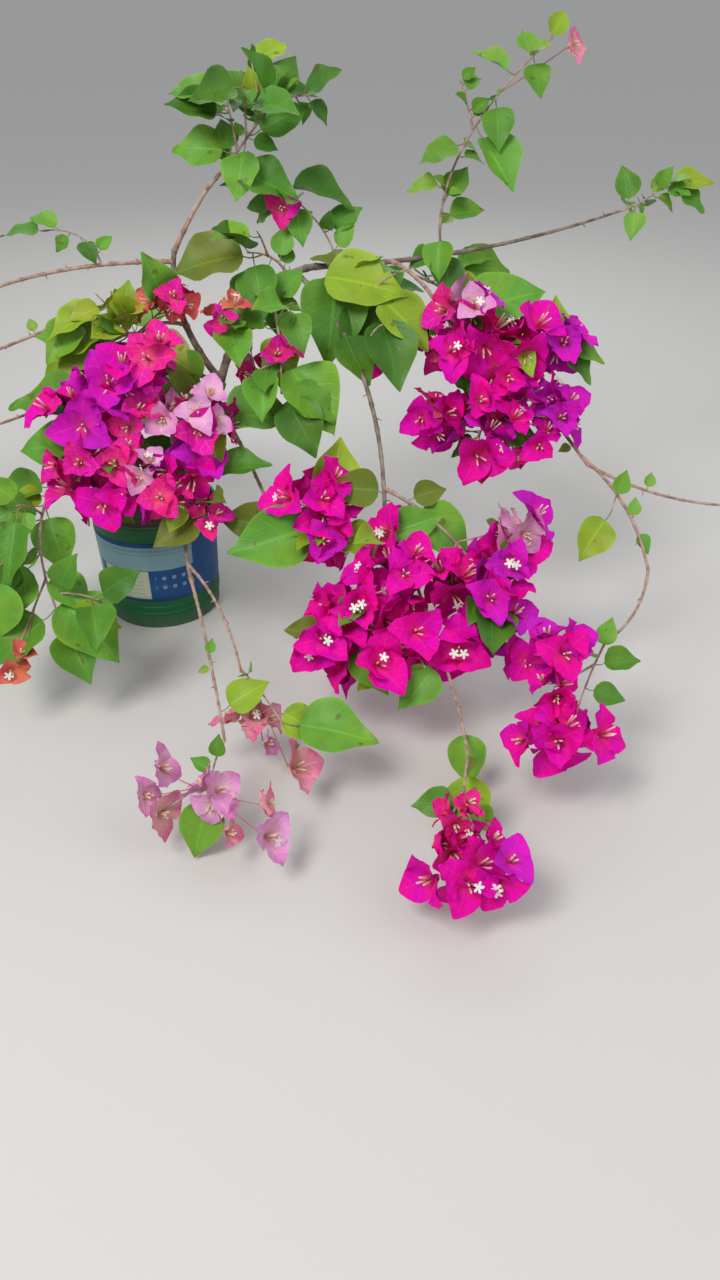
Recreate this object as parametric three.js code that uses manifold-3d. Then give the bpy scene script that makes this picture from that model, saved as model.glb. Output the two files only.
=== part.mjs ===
// A potted bougainvillea: a plastic pail of soil, one leaning trunk, long arching canes,
// and masses of leaves and papery blossom at their ends. Millimetres, +Z up. The origin is
// the centre of the pail's underside, +X to the right and +Y away from the viewer.
import * as THREE from 'three';
import { mergeVertices } from 'three/addons/utils/BufferGeometryUtils.js';
import Module from 'manifold-3d';

const wasm = await Module();
wasm.setup();

// Driving dimensions of the pail and its soil
const POT_HEIGHT = 166;
const POT_BASE_RADIUS = 81;
const POT_WALL_TOP_RADIUS = 87.5;
const POT_RIM_RADIUS = 90;
const POT_RIM_HEIGHT = 6;
const POT_WALL = 2;
const POT_FLOOR = 3;
const SOIL_TOP = 150;
const SOIL_FLAT_RADIUS = 66;
const SOIL_EDGE_DROP = 4;
const GAP = 0.3;
const AROUND = 30;

// Driving dimensions of the wood, leaves and blooms
const TRUNK_FOOT = [14, 0, SOIL_TOP + GAP];
const FLARE_RADIUS = 6;
const FLARE_FADE = 14;
const LIMB_SIDES = 5;
const LIMB_RINGS = 6;
const BLOOM_ROOM = 0.85;
const LEAF_ROOM = 6;
const LEAF_TRIES = 4;
const SPOKE_BACK = 0.15;
const HEAD_STEP = [10, 8, 8];
const SMALLEST_STEP = 0.25;
const TRUNK_SIDES = 10;
const LIMB_GAP = 0.38;
const STALK_RADIUS = 0.9;
const ROOT_RADIUS = 0.35;
const BLOOM_RADIUS = 29;
const LIGHT = unit([0.1, -0.55, 0.83]);
const IMAGE_UP = [0, 0.574, 0.819];
const TOWARDS = [0, -0.819, 0.574];
const GOLDEN = Math.PI * (3 - Math.sqrt(5));
const FLOOR_CLEARANCE = 14;
const POT_CLEARANCE = 6;
const LIMB_CLEARANCE = 5;
const NEIGHBOUR_MARGIN = 4;
const STEM_SAMPLES = 12;
const LIMB_SAMPLES = 40;

// Limbs: the limb each grows from and how far along it, its tip, how far its middle is
// bowed from the straight line, and its radius at the foot and at the tip
const LIMBS = {
  trunk: { tip: [108, 30, 327], bow: [5, -1, 0], radius: [10.5, 6.5] },
  left_stem: { from: 'trunk', at: 1, tip: [53, 80, 482], bow: [-20, 0, 0], radius: [4.8, 3.3] },
  right_bough: { from: 'trunk', at: 0.93, tip: [236, 72, 466], bow: [-14, 14, 30], radius: [5.6, 4.2] },
  long_cane: { from: 'right_bough', at: 1, tip: [656, 200, 509], bow: [0, -14, -12], radius: [3.8, 1.7] },
  top_left_cane: { from: 'left_stem', at: 1, tip: [111, 100, 565], bow: [4, -2, 12], radius: [3.1, 2.3] },
  left_back_cane: { from: 'left_stem', at: 0.93, tip: [-330, 150, 370], bow: [-10, 0, 22], radius: [3, 1.6] },
  left_front_cane: { from: 'left_stem', at: 0.82, tip: [-290, -60, 350], bow: [10, 18, -2], radius: [2.8, 1.5] },
  inner_left_cane: { from: 'left_stem', at: 0.45, tip: [8, 30, 392], bow: [-6, 4, 6], radius: [2.6, 2] },
  front_bough: { from: 'right_bough', at: 0.86, tip: [325, -190, 232], bow: [30, 8, 20], radius: [3.4, 2.4] },
  tail_cane: { from: 'front_bough', at: 0.96, tip: [413, -450, 80], bow: [23, 0, -42], radius: [2, 1.6] },
  middle_bough: { from: 'long_cane', at: 0.24, tip: [402, 24, 418], bow: [4, 0, 8], radius: [2.9, 2.3] },
  low_right_bough: { from: 'middle_bough', at: 0.86, tip: [590, -80, 257], bow: [14, 50, -10], radius: [2.5, 2.2] },
  low_right_cane: { from: 'low_right_bough', at: 1, tip: [860, -110, 218], bow: [0, 0, -26], radius: [2.1, 1.3] },
  loop_cane_upper: { from: 'low_right_bough', at: 0.96, tip: [648, -220, 181], bow: [12, 0, 8], radius: [2.1, 1.9] },
  loop_cane_lower: { from: 'loop_cane_upper', at: 1, tip: [577, -330, 149], bow: [9, -6, -4], radius: [1.8, 1.5] },
  droop_bough: { from: 'trunk', at: 0.8, tip: [80, -190, 152], bow: [-20, 0, 0], radius: [3.4, 2.4] },
  droop_cane_left: { from: 'droop_bough', at: 1, tip: [144, -420, 80], bow: [2, 0, 8], radius: [2.2, 1.6] },
  droop_cane_right: { from: 'droop_bough', at: 0.93, tip: [156, -335, 113], bow: [8, 0, 10], radius: [2, 1.5] },
  inner_cane: { from: 'trunk', at: 0.87, tip: [192, -140, 190], bow: [0, 0, 12], radius: [2.8, 2.1] },
  pot_bough: { from: 'trunk', at: 0.97, tip: [2, -12, 352], bow: [0, 0, 16], radius: [3.4, 2.4] },
  left_low_bough: { from: 'trunk', at: 0.74, tip: [-98, -80, 242], bow: [0, 34, 10], radius: [3, 2.2] },
  left_low_cane: { from: 'left_low_bough', at: 1, tip: [-272, -165, 158], bow: [0, 0, 8], radius: [2, 1.4] },
  left_middle_cane: { from: 'pot_bough', at: 0.82, tip: [-285, -52, 264], bow: [0, -8, 0], radius: [2.2, 1.4] },
  back_left_bough: { from: 'trunk', at: 0.66, tip: [0, 150, 300], bow: [0, 0, 14], radius: [3, 2.2] },
  back_right_bough: { from: 'right_bough', at: 0.3, tip: [290, 190, 340], bow: [0, 10, 16], radius: [3, 2.2] },
};

// Masses of foliage: the limb whose tip or side each meets, its stem's tip, bow and radius,
// its number of side twigs, how far from the stem it reaches, its leaves and their length,
// the leaves that show (how far along the stem, heading in the picture, length and, where it
// grows from a head's spoke, which) and its heads of blossom (how far along the stem, how far
// to the right, up and towards the viewer, number of blooms, size)
const MASSES = {
  top_left_leaves: {
    seed: 11, from: 'top_left_cane', at: 1, tip: [190, 112, 655], bow: [6, 0, 4], radius: 2,
    twigs: 5, reach: 130, leaves: 10, leaf: 66,
    show: [[0.15, -20, 84], [0.3, 168, 70], [0.5, 30, 70], [0.7, 120, 64], [0.9, 65, 56], [0.45, -100, 66]],
  },
  upright_spray: {
    seed: 23, from: 'long_cane', at: 0.4, tip: [533, 160, 716], bow: [-46, -17, 0], radius: 2,
    twigs: 1, reach: 96, leaves: 1, leaf: 44,
    show: [[0.12, -95, 56], [0.26, 60, 50], [0.34, 178, 44], [0.55, 200, 56], [0.62, -60, 80],
      [0.74, -85, 56], [0.84, 150, 50], [0.92, -80, 46], [0.98, 60, 36]],
    heads: [[1, [-16, 14, 0], 1, 0.5], [1, [20, -16, 8], 1, 0.65]],
  },
  right_tip_spray: {
    seed: 31, from: 'long_cane', at: 1, tip: [728, 226, 545], bow: [0, 0, -6], radius: 1.5,
    twigs: 0, reach: 90, leaves: 0, leaf: 44,
    show: [[0.2, 100, 48], [0.3, -95, 42], [0.85, 12, 60], [0.95, -40, 54], [0.6, 60, 30]],
  },
  thin_cane_spray: {
    seed: 37, from: 'long_cane', at: 0.07, tip: [176, 118, 560], bow: [16, 6, 4], radius: 1.6,
    twigs: 0, reach: 100, leaves: 0, leaf: 60,
    show: [[0.55, -10, 92], [0.75, -75, 56], [0.9, 170, 66], [0.35, 40, 50]],
    heads: [[0.9, [4, -22, 8], 2, 0.75]],
  },
  crown_leaves_right: {
    seed: 41, from: 'long_cane', at: 0.1, tip: [345, -40, 392], bow: [0, 0, 10], radius: 2.4,
    twigs: 4, reach: 134, leaves: 6, leaf: 84,
    show: [[0.2, -97, 128], [0.08, -12, 122], [0.45, -28, 96], [0.8, -70, 98], [0.6, -120, 86],
      [0.3, 150, 80]],
  },
  crown_leaves_inner: {
    seed: 43, from: 'right_bough', at: 0.62, tip: [196, -66, 346], bow: [6, 0, 16], radius: 2.4,
    twigs: 2, reach: 116, leaves: 4, leaf: 80,
    show: [[0.2, 28, 84], [0.75, -42, 118], [0.95, -60, 84], [0.45, -85, 80], [0.5, 170, 70]],
    heads: [[0.3, [-61, -25, 29], 3, 0.7], [0.6, [-63, -34, -2], 3, 0.8], [0.8, [-7, 15, -13], 3, 0.7]],
  },
  crown_leaves_left: {
    seed: 47, from: 'inner_left_cane', at: 1, tip: [-30, -6, 386], bow: [0, 0, 6], radius: 2.2,
    twigs: 3, reach: 118, leaves: 5, leaf: 84,
    show: [[0.2, -30, 84], [0.3, 205, 108], [0.8, 172, 84], [0.6, 80, 62], [0.9, 225, 80]],
    heads: [[0.2, [58, 36, 28], 3, 0.75]],
  },
  high_crown_leaves: {
    seed: 53, from: 'right_bough', at: 0.8, tip: [150, 60, 486], bow: [6, 0, 8], radius: 2.2,
    twigs: 3, reach: 100, leaves: 6, leaf: 72,
    show: [[0.7, 184, 106], [0.5, -120, 86], [0.8, 100, 62], [0.9, -80, 74]],
  },
  far_left_spray: {
    seed: 59, from: 'left_back_cane', at: 0.24, tip: [-128, 120, 500], bow: [14, 0, 14], radius: 1.4,
    twigs: 0, reach: 70, leaves: 0, leaf: 40,
    show: [[0.9, 178, 62], [0.75, 150, 40], [0.5, -60, 36]],
  },
  left_back_outer_spray: {
    seed: 61, from: 'left_back_cane', at: 1, tip: [-392, 150, 372], bow: [0, 0, 8], radius: 1.5,
    twigs: 2, reach: 84, leaves: 7, leaf: 56,
  },
  left_front_outer_spray: {
    seed: 67, from: 'left_front_cane', at: 1, tip: [-350, -80, 345], bow: [0, 0, 8], radius: 1.5,
    twigs: 2, reach: 84, leaves: 7, leaf: 58,
  },
  pot_blossom_left: {
    seed: 71, from: 'pot_bough', at: 1, tip: [-54, -136, 196], bow: [-14, -10, 22], radius: 2.4,
    twigs: 0, reach: 124, leaves: 1, leaf: 84,
    show: [[0.35, 165, 108], [0.55, 178, 84], [0.5, -30, 60]],
    heads: [[0.6, [-1, 42, 34], 4, 1.25], [0.35, [17, 30, 34], 3, 1.15], [0.2, [53, 33, 46], 3, 1.05],
      [0.6, [51, 36, 24], 2, 0.85], [0.75, [0, 17, 24], 3, 1.1], [0.8, [43, 27, 20], 3, 0.95],
      [1, [26, 25, 25], 4, 1.15], [0.9, [73, 41, 32], 2, 0.65]],
  },
  pot_blossom_right: {
    seed: 73, from: 'pot_bough', at: 0.3, tip: [96, -142, 200], bow: [10, -8, 14], radius: 2.4,
    twigs: 0, reach: 120, leaves: 1, leaf: 76,
    show: [[0.35, -10, 112], [0.7, 10, 70], [0.2, 120, 70]],
    heads: [[0.5, [-3, 20, 35], 4, 0.95], [0.4, [-44, 7, 41], 2, 0.75], [0.8, [-7, 24, 22], 4, 1.25],
      [1, [-49, 22, 25], 3, 0.85], [1, [15, 5, 21], 2, 0.8]],
  },
  middle_blossom: {
    seed: 79, from: 'middle_bough', at: 1, tip: [462, -62, 272], bow: [12, 0, 18], radius: 2.4,
    twigs: 0, reach: 150, leaves: 1, leaf: 60,
    show: [[0.1, 26, 112], [0.3, -88, 56], [0.9, 80, 56, 4], [0.95, -15, 58, 4], [1, -50, 56, 4],
      [0.9, -10, 60]],
    heads: [[0.3, [4, 39, 25], 3, 1], [0.4, [14, 17, 18], 3, 1.2], [0.5, [59, 25, 19], 3, 1.25],
      [0.5, [-37, 15, 17], 3, 0.95], [0.7, [95, 65, 11], 3, 0.95], [0.8, [-76, -1, 11], 4, 1.1],
      [0.9, [-16, 34, 17], 3, 1.1], [0.9, [38, 34, 15], 3, 1.2], [0.9, [90, 15, 1], 3, 1],
      [1, [-20, 2, 13], 4, 1.2], [1, [36, -4, 2], 2, 0.6]],
  },
  front_blossom_left: {
    seed: 83, from: 'front_bough', at: 1, tip: [282, -300, 122], bow: [0, -10, 14], radius: 2.4,
    twigs: 0, reach: 130, leaves: 1, leaf: 66,
    show: [[0.15, 20, 66], [0.9, -128, 78, 5], [0.85, 165, 44, 3]],
    heads: [[0.2, [44, 18, -4], 3, 1.05], [0.5, [40, 2, -5], 4, 1.15], [0.8, [-1, 17, 0], 3, 1.15],
      [0.9, [-36, -9, 3], 4, 1.15], [1, [32, -20, 4], 4, 1.25], [0.9, [71, 0, -1], 4, 1.2]],
  },
  front_blossom_right: {
    seed: 89, from: 'front_bough', at: 0.9, tip: [462, -274, 158], bow: [10, 0, 16], radius: 2.4,
    twigs: 0, reach: 130, leaves: 1, leaf: 70,
    show: [[0.15, -36, 92], [0.05, 172, 64]],
    heads: [[0.7, [-25, -25, 9], 3, 1.15], [0.8, [4, -22, 7], 3, 1.2], [0.8, [28, 21, 1], 3, 1.1],
      [0.7, [58, 43, 8], 2, 1.1], [1, [-53, -44, 1], 3, 1.15], [1, [-2, -24, 0], 3, 1.1],
      [1, [28, -50, 4], 2, 0.85]],
  },
  inner_blossom: {
    seed: 97, from: 'inner_cane', at: 1, tip: [262, -172, 222], bow: [0, -6, 8], radius: 1.8,
    twigs: 0, reach: 110, leaves: 0, leaf: 60,
    show: [[0.9, 80, 92], [0.9, 197, 108], [0.1, 165, 70], [1, -32, 64]],
    heads: [[0.7, [7, 23, 12], 4, 1.15], [0.9, [-7, -23, 2], 3, 1.1]],
  },
  loop_blossom: {
    seed: 101, from: 'loop_cane_lower', at: 1, tip: [524, -432, 92], bow: [-4, -4, 6], radius: 1.4,
    twigs: 0, reach: 92, leaves: 0, leaf: 46,
    show: [[0.25, 10, 44], [0.1, 75, 34], [0.5, -15, 40]],
    heads: [[0.3, [-41, 15, 20], 3, 1.15], [0.4, [-44, -12, 23], 2, 1], [1, [-20, -3, 8], 3, 1.2],
      [1, [31, -7, 5], 2, 1.05]],
  },
  loop_cane_leaves: {
    seed: 157, from: 'loop_cane_upper', at: 0.4, tip: [612, -150, 226], bow: [0, 0, 4], radius: 1.3,
    twigs: 0, reach: 96, leaves: 0, leaf: 40,
    show: [[1, 190, 84], [0.5, 70, 34]],
  },
  tail_blossom: {
    seed: 103, from: 'tail_cane', at: 1, tip: [402, -600, 62], bow: [-6, 0, 14], radius: 1.5,
    twigs: 0, reach: 96, leaves: 0, leaf: 36,
    show: [[0.05, -88, 66], [0.5, 172, 46], [0.5, -38, 38]],
    heads: [[0.5, [-14, -2, 35], 2, 0.8], [0.7, [-17, -8, 19], 2, 1], [0.7, [19, -10, 14], 2, 1],
      [1, [-4, -2, -2], 3, 1.35], [1, [31, 1, -2], 2, 1.1]],
  },
  low_droop_blossom: {
    seed: 107, from: 'droop_cane_left', at: 1, tip: [140, -512, 60], bow: [-6, 0, 4], radius: 1.5,
    twigs: 0, reach: 112, leaves: 0, leaf: 40,
    show: [[0.9, -97, 74, 2], [0.35, 80, 26], [0.5, 140, 24]],
    heads: [[0.4, [-54, -1, 13], 1, 1.05], [0.5, [-69, -23, 16], 1, 0.6], [0.7, [-53, -28, 6], 1, 0.95],
      [0.9, [0, 14, -3], 2, 1.1], [1, [18, -19, 11], 1, 0.6], [1, [60, -21, 19], 1, 1.3],
      [0.9, [57, 2, 12], 1, 0.85]],
  },
  right_droop_leaves: {
    seed: 109, from: 'droop_cane_right', at: 1, tip: [212, -412, 88], bow: [0, 0, 8], radius: 1.5,
    twigs: 0, reach: 100, leaves: 0, leaf: 60,
    show: [[0.05, 38, 66], [0.9, -8, 92], [0.75, 25, 50]],
    heads: [[0.5, [-27, -36, -15], 2, 0.85], [0.6, [-1, -22, -19], 1, 0.8], [1, [10, -42, 5], 1, 1.15],
      [0.8, [-13, -36, -19], 1, 0.6]],
  },
  low_right_spray: {
    seed: 113, from: 'low_right_cane', at: 1, tip: [896, -120, 226], bow: [0, 0, 6], radius: 1.3,
    twigs: 1, reach: 70, leaves: 5, leaf: 46,
  },
  low_left_leaves: {
    seed: 127, from: 'left_low_bough', at: 0.96, tip: [-66, -262, 122], bow: [-26, -10, 22], radius: 2.4,
    twigs: 3, reach: 130, leaves: 3, leaf: 80,
    show: [[0.6, -128, 106], [0.8, -38, 106], [0.4, 178, 78], [0.7, -35, 66], [0.95, -60, 74],
      [0.9, -140, 88], [0.3, -70, 76]],
    heads: [[0.9, [-51, -66, 7], 2, 0.7]],
  },
  left_low_outer_spray: {
    seed: 131, from: 'left_low_cane', at: 1, tip: [-322, -190, 142], bow: [0, 0, 8], radius: 1.5,
    twigs: 2, reach: 84, leaves: 8, leaf: 62,
  },
  left_middle_outer_spray: {
    seed: 137, from: 'left_middle_cane', at: 1, tip: [-340, -60, 252], bow: [0, 0, 8], radius: 1.5,
    twigs: 2, reach: 78, leaves: 6, leaf: 60,
  },
  back_left_leaves: {
    seed: 139, from: 'back_left_bough', at: 1, tip: [-64, 222, 268], bow: [0, 0, 20], radius: 2.2,
    twigs: 4, reach: 130, leaves: 10, leaf: 84,
    heads: [[0.8, [0, 0, 0], 4, 1], [0.4, [0, -20, -40], 3, 1]],
  },
  back_right_leaves: {
    seed: 149, from: 'back_right_bough', at: 1, tip: [360, 250, 308], bow: [0, 0, 18], radius: 2.2,
    twigs: 4, reach: 130, leaves: 10, leaf: 84,
    heads: [[0.8, [0, 0, 0], 4, 1], [0.4, [0, -20, -40], 3, 1]],
  },
  back_middle_leaves: {
    seed: 151, from: 'middle_bough', at: 0.4, tip: [486, 150, 330], bow: [0, 10, 18], radius: 2,
    twigs: 3, reach: 110, leaves: 8, leaf: 74,
    heads: [[0.85, [0, 0, 0], 4, 1]],
  },
};

const COLOURS = {
  pot: 0x1b5a34, soil: 0x4a3b2e, trunk: 0x7a6a58, limb: 0x9a7d6a, leaves: 0x5f9a3a, blossom: 0xc81e8e,
};

// Small vector sums on plain [x, y, z] lists
function add(a, b, scale = 1) {
  return [a[0] + b[0] * scale, a[1] + b[1] * scale, a[2] + b[2] * scale];
}
function dot(a, b) {
  return a[0] * b[0] + a[1] * b[1] + a[2] * b[2];
}
function cross(a, b) {
  return [a[1] * b[2] - a[2] * b[1], a[2] * b[0] - a[0] * b[2], a[0] * b[1] - a[1] * b[0]];
}
function length(a) {
  return Math.sqrt(dot(a, a));
}
function unit(a) {
  const size = length(a);
  return [a[0] / size, a[1] / size, a[2] / size];
}
function distance(a, b) {
  return length(add(a, b, -1));
}

// A repeatable dice: the same seed always gives the same plant
class Dice {
  constructor(seed) {
    this.state = seed * 7919;
  }
  next() {
    this.state = (this.state * 16807) % 2147483647;
    return this.state / 2147483647;
  }
}

// A bowed line from foot to tip
class Bow {
  constructor(foot, tip, bow) {
    const middle = add(add(foot, tip).map((v) => v / 2), bow, 2);
    this.line = new THREE.QuadraticBezierCurve3(
      new THREE.Vector3(...foot), new THREE.Vector3(...middle), new THREE.Vector3(...tip));
  }
  point(t) {
    return this.line.getPoint(t).toArray();
  }
  heading(t) {
    return this.line.getTangent(t).toArray();
  }
}

function anyAcross(heading) {
  const helper = Math.abs(heading[2]) < 0.9 ? [0, 0, 1] : [1, 0, 0];
  return unit(cross(helper, heading));
}

// Reshapes an upright cylinder: spotAt(ring, corner, angle) gives each corner's place, and
// the corner of an end cap's middle is null
function loft(sides, rings, spotAt) {
  const shape = new THREE.CylinderGeometry(1, 1, 1, sides, rings);
  const spots = shape.attributes.position;
  for (let i = 0; i < spots.count; i++) {
    const ring = Math.round((spots.getY(i) + 0.5) * rings);
    const middle = Math.hypot(spots.getX(i), spots.getZ(i)) < 0.5;
    const angle = Math.atan2(spots.getX(i), spots.getZ(i));
    const corner = Math.round((angle / (2 * Math.PI)) * sides + sides) % sides;
    spots.setXYZ(i, ...spotAt(ring, middle ? null : corner, angle));
  }
  return solid(shape);
}

// A tapered limb along a bow, carried a little past its tip where asked; radiusAt(t, angle)
// gives its radius
function tube(bow, radiusAt, sides, rings, past = 0) {
  const frames = [];
  let across = anyAcross(bow.heading(0));
  for (let i = 0; i <= rings; i++) {
    const heading = bow.heading(i / rings);
    across = unit(add(across, heading, -dot(across, heading)));
    const centre = add(bow.point(i / rings), heading, i === rings ? past : 0);
    frames.push({ centre, across, beside: cross(across, heading) });
  }
  return loft(sides, rings, (ring, corner, angle) => {
    const { centre, across: a, beside: b } = frames[ring];
    const radius = corner === null ? 0 : radiusAt(ring / rings, angle);
    return add(add(centre, a, Math.sin(angle) * radius), b, Math.cos(angle) * radius);
  });
}

// A closed body from a three.js shape, without the empty triangles of its poles
function solid(geometry) {
  const bare = geometry.clone();
  bare.deleteAttribute('normal');
  bare.deleteAttribute('uv');
  const joined = mergeVertices(bare, 1e-4);
  const corners = [];
  for (let i = 0; i < joined.index.count; i += 3) {
    const [a, b, c] = [0, 1, 2].map((k) => joined.index.getX(i + k));
    if (a !== b && b !== c && c !== a) corners.push(a, b, c);
  }
  return new wasm.Manifold(new wasm.Mesh({
    numProp: 3,
    vertProperties: new Float32Array(joined.attributes.position.array),
    triVerts: new Uint32Array(corners),
  }));
}

function geometryOf(body) {
  const { vertProperties, triVerts } = body.getMesh();
  const geometry = new THREE.BufferGeometry();
  geometry.setAttribute('position', new THREE.BufferAttribute(new Float32Array(vertProperties), 3));
  geometry.setIndex(new THREE.BufferAttribute(new Uint32Array(triVerts), 1));
  geometry.computeVertexNormals();
  return geometry;
}

// The largest outer shell: it leaves loose scraps out and fills sealed hollows
function largestShell(body) {
  return body.decompose().reduce((best, shell) => (shell.volume() > best.volume() ? shell : best));
}

// Limbs, each from a point on the limb that carries it
function limbRadius(name, t) {
  const [foot, tip] = LIMBS[name].radius;
  return foot + (tip - foot) * t;
}
function layOutLimbs() {
  const bows = {};
  for (const [name, limb] of Object.entries(LIMBS)) {
    const foot = limb.from ? bows[limb.from].point(limb.at) : TRUNK_FOOT;
    bows[name] = new Bow(foot, limb.tip, limb.bow);
  }
  return bows;
}
const BOWS = layOutLimbs();

const LIMB_POINTS = Object.keys(LIMBS).flatMap((name) =>
  Array.from({ length: LIMB_SAMPLES + 1 }, (_, i) => ({
    spot: BOWS[name].point(i / LIMB_SAMPLES), radius: limbRadius(name, i / LIMB_SAMPLES),
  })));

function stemOf(name) {
  const { from, at, tip, bow } = MASSES[name];
  return new Bow(BOWS[from].point(at), tip, bow);
}
const STEMS = Object.fromEntries(Object.keys(MASSES).map((name) => [name, stemOf(name)]));
const STEM_POINTS = Object.fromEntries(Object.entries(STEMS).map(([name, stem]) =>
  [name, Array.from({ length: STEM_SAMPLES }, (_, i) => stem.point((i + 1) / STEM_SAMPLES))]));

function nearest(spots, spot) {
  return spots.reduce((best, s) => Math.min(best, distance(s, spot)), Infinity);
}

// Whether a point is in a mass's own space: within its reach, nearer its own stem than any
// other by a margin, clear of the limbs, the pail and the surface it stands on
function inOwnSpace(name, spot) {
  const own = nearest(STEM_POINTS[name], spot);
  if (own > MASSES[name].reach) return false;
  for (const other of Object.keys(MASSES)) {
    if (other !== name && nearest(STEM_POINTS[other], spot) < own + NEIGHBOUR_MARGIN * 2) return false;
  }
  if (spot[2] < FLOOR_CLEARANCE) return false;
  const fromAxis = Math.hypot(spot[0], spot[1]);
  if (spot[2] < POT_HEIGHT + POT_CLEARANCE && fromAxis < POT_RIM_RADIUS + POT_CLEARANCE) return false;
  return true;
}
function clearOfLimbs(spot, room) {
  return LIMB_POINTS.every((limb) => distance(limb.spot, spot) > limb.radius + room);
}
function fits(name, spots, room = LIMB_CLEARANCE) {
  return spots.every((spot) => inOwnSpace(name, spot) && clearOfLimbs(spot, room));
}

// A direction square to a twig, at an angle round it
function sideways(bow, t, angle) {
  const heading = bow.heading(t);
  const a = anyAcross(heading);
  const b = cross(heading, a);
  return add(a.map((v) => v * Math.cos(angle)), b, Math.sin(angle));
}
function spread(k, count) {
  const z = 1 - (2 * (k + 0.5)) / count;
  const r = Math.sqrt(1 - z * z);
  return [r * Math.cos(k * GOLDEN), r * Math.sin(k * GOLDEN), z];
}

// A leaf in one piece, three-sided all along: its stalk, then an ovate blade with a keel
// beneath. Each ring is [along, half width, rise of the sides, depth of the keel].
const STALK = 0.24;
const BLADE = [[0.38, 0.34, 0.02, 0.012], [1, 0, -0.08, 0.08]];
function leafBlade(root, axis, size) {
  const normal = unit(add(LIGHT, axis, -dot(LIGHT, axis)));
  const side = cross(axis, normal);
  const stalk = [[-STALK, ROOT_RADIUS], [0, STALK_RADIUS]].map(([along, radius]) =>
    [along, radius / size, (radius * 0.5) / size, radius / size]);
  const rings = [...stalk, ...BLADE];
  return loft(3, rings.length - 1, (ring, corner) => {
    const [along, half, rise, keel] = rings[ring];
    const across = corner ? half * (corner - 1.5) * 2 : 0;
    const up = corner === 0 ? -keel : corner === null ? 0 : rise;
    const spot = add(root, axis, (along + STALK) * size);
    return add(add(spot, side, across * size), normal, up * size);
  });
}

// A bloom in one piece: a thin stalk and three papery bracts that make a three-tipped cup.
// Each ring is [out, rise], both as shares of the bloom's radius.
const NECK_RISE = -0.22;
const TIP_RISE = 0.5;
const HEART_RISE = 0.02;
function bloomCup(root, centre, facing, turn, radius) {
  const across = anyAcross(facing);
  const beside = cross(across, facing);
  const neck = add(centre, facing, NECK_RISE * radius);
  const way = unit(add(neck, root, -1));
  const stalkAcross = unit(add(across, way, -dot(across, way)));
  const round = (spot, a, b, out, angle) =>
    add(add(spot, a, Math.sin(angle + turn) * out), b, Math.cos(angle + turn) * out);
  return loft(3, 2, (ring, corner, angle) => {
    if (ring === 0) {
      return round(root, stalkAcross, cross(stalkAcross, way), corner === null ? 0 : ROOT_RADIUS, angle);
    }
    if (ring === 1) return round(neck, across, beside, STALK_RADIUS, angle);
    if (corner === null) return add(centre, facing, HEART_RISE * radius);
    return round(add(centre, facing, TIP_RISE * radius), across, beside, radius, angle);
  });
}

function twigTube(bow, foot, tip) {
  return tube(bow, (t) => foot + (tip - foot) * t, 3, 1);
}
const STRAIGHT = [0, 0, 0];
// The stretch of a twig that bears leaves and blooms
const LEAVES_FROM = 0.3;
const LEAVES_TO = 0.98;

// A leaf, where there is room; what it takes up is kept in plant.taken
function addLeaf(plant, name, root, axis, size) {
  const base = add(root, axis, size * STALK);
  const side = cross(axis, unit(add(LIGHT, axis, -dot(LIGHT, axis))));
  const blade = [0, 0.2, 0.4, 0.6, 0.8, 1].map((k) => add(base, axis, size * k));
  for (const k of [-0.3, 0.3]) {
    blade.push(add(add(base, axis, size * 0.28), side, size * k));
    blade.push(add(add(base, axis, size * 0.6), side, size * k * 0.7));
  }
  if (!fits(name, blade) || !fits(name, [add(root, axis, size * STALK * 0.5)], 1)) return false;
  if (blade.some((spot) => nearest(plant.taken, spot) < LEAF_ROOM)) return false;
  plant.taken.push(...blade);
  plant.push(leafBlade(root, axis, size));
  return true;
}

// A bloom on its stalk, from the nearest twig
function addBloom(plant, name, twigs, share, centre, facing, turn, size) {
  const radius = BLOOM_RADIUS * size;
  const across = anyAcross(facing);
  const beside = cross(across, facing);
  const rim = [0, 1, 2, 3, 4, 5].map((k) => {
    const angle = turn + (k * Math.PI) / 3;
    const reach = k % 2 ? 0.5 : 1;
    const out = add(across.map((v) => v * Math.sin(angle)), beside, Math.cos(angle));
    return add(add(centre, out, radius * reach), facing, radius * TIP_RISE * reach);
  });
  const roots = twigs.map((bow) => bow.point(LEAVES_FROM + (LEAVES_TO - LEAVES_FROM) * share));
  const root = roots.reduce((a, b) => (distance(b, centre) < distance(a, centre) ? b : a));
  const half = add(root, centre).map((v) => v / 2);
  if (!fits(name, [centre, ...rim]) || !fits(name, [half], 2)) return false;
  if (nearest(plant.hearts, centre) < radius * BLOOM_ROOM) return false;
  if ([centre, ...rim].some((spot) => nearest(plant.taken, spot) < LEAF_ROOM)) return false;
  plant.hearts.push(centre);
  plant.push(bloomCup(root, centre, facing, turn, radius));
  return true;
}

// A head's middle: beside its stem, to the right, up and towards the viewer
function headMiddle(stem, at, [right, up, towards]) {
  return add(add(add(stem.point(at), [1, 0, 0], right), IMAGE_UP, up), TOWARDS, towards);
}

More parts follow.
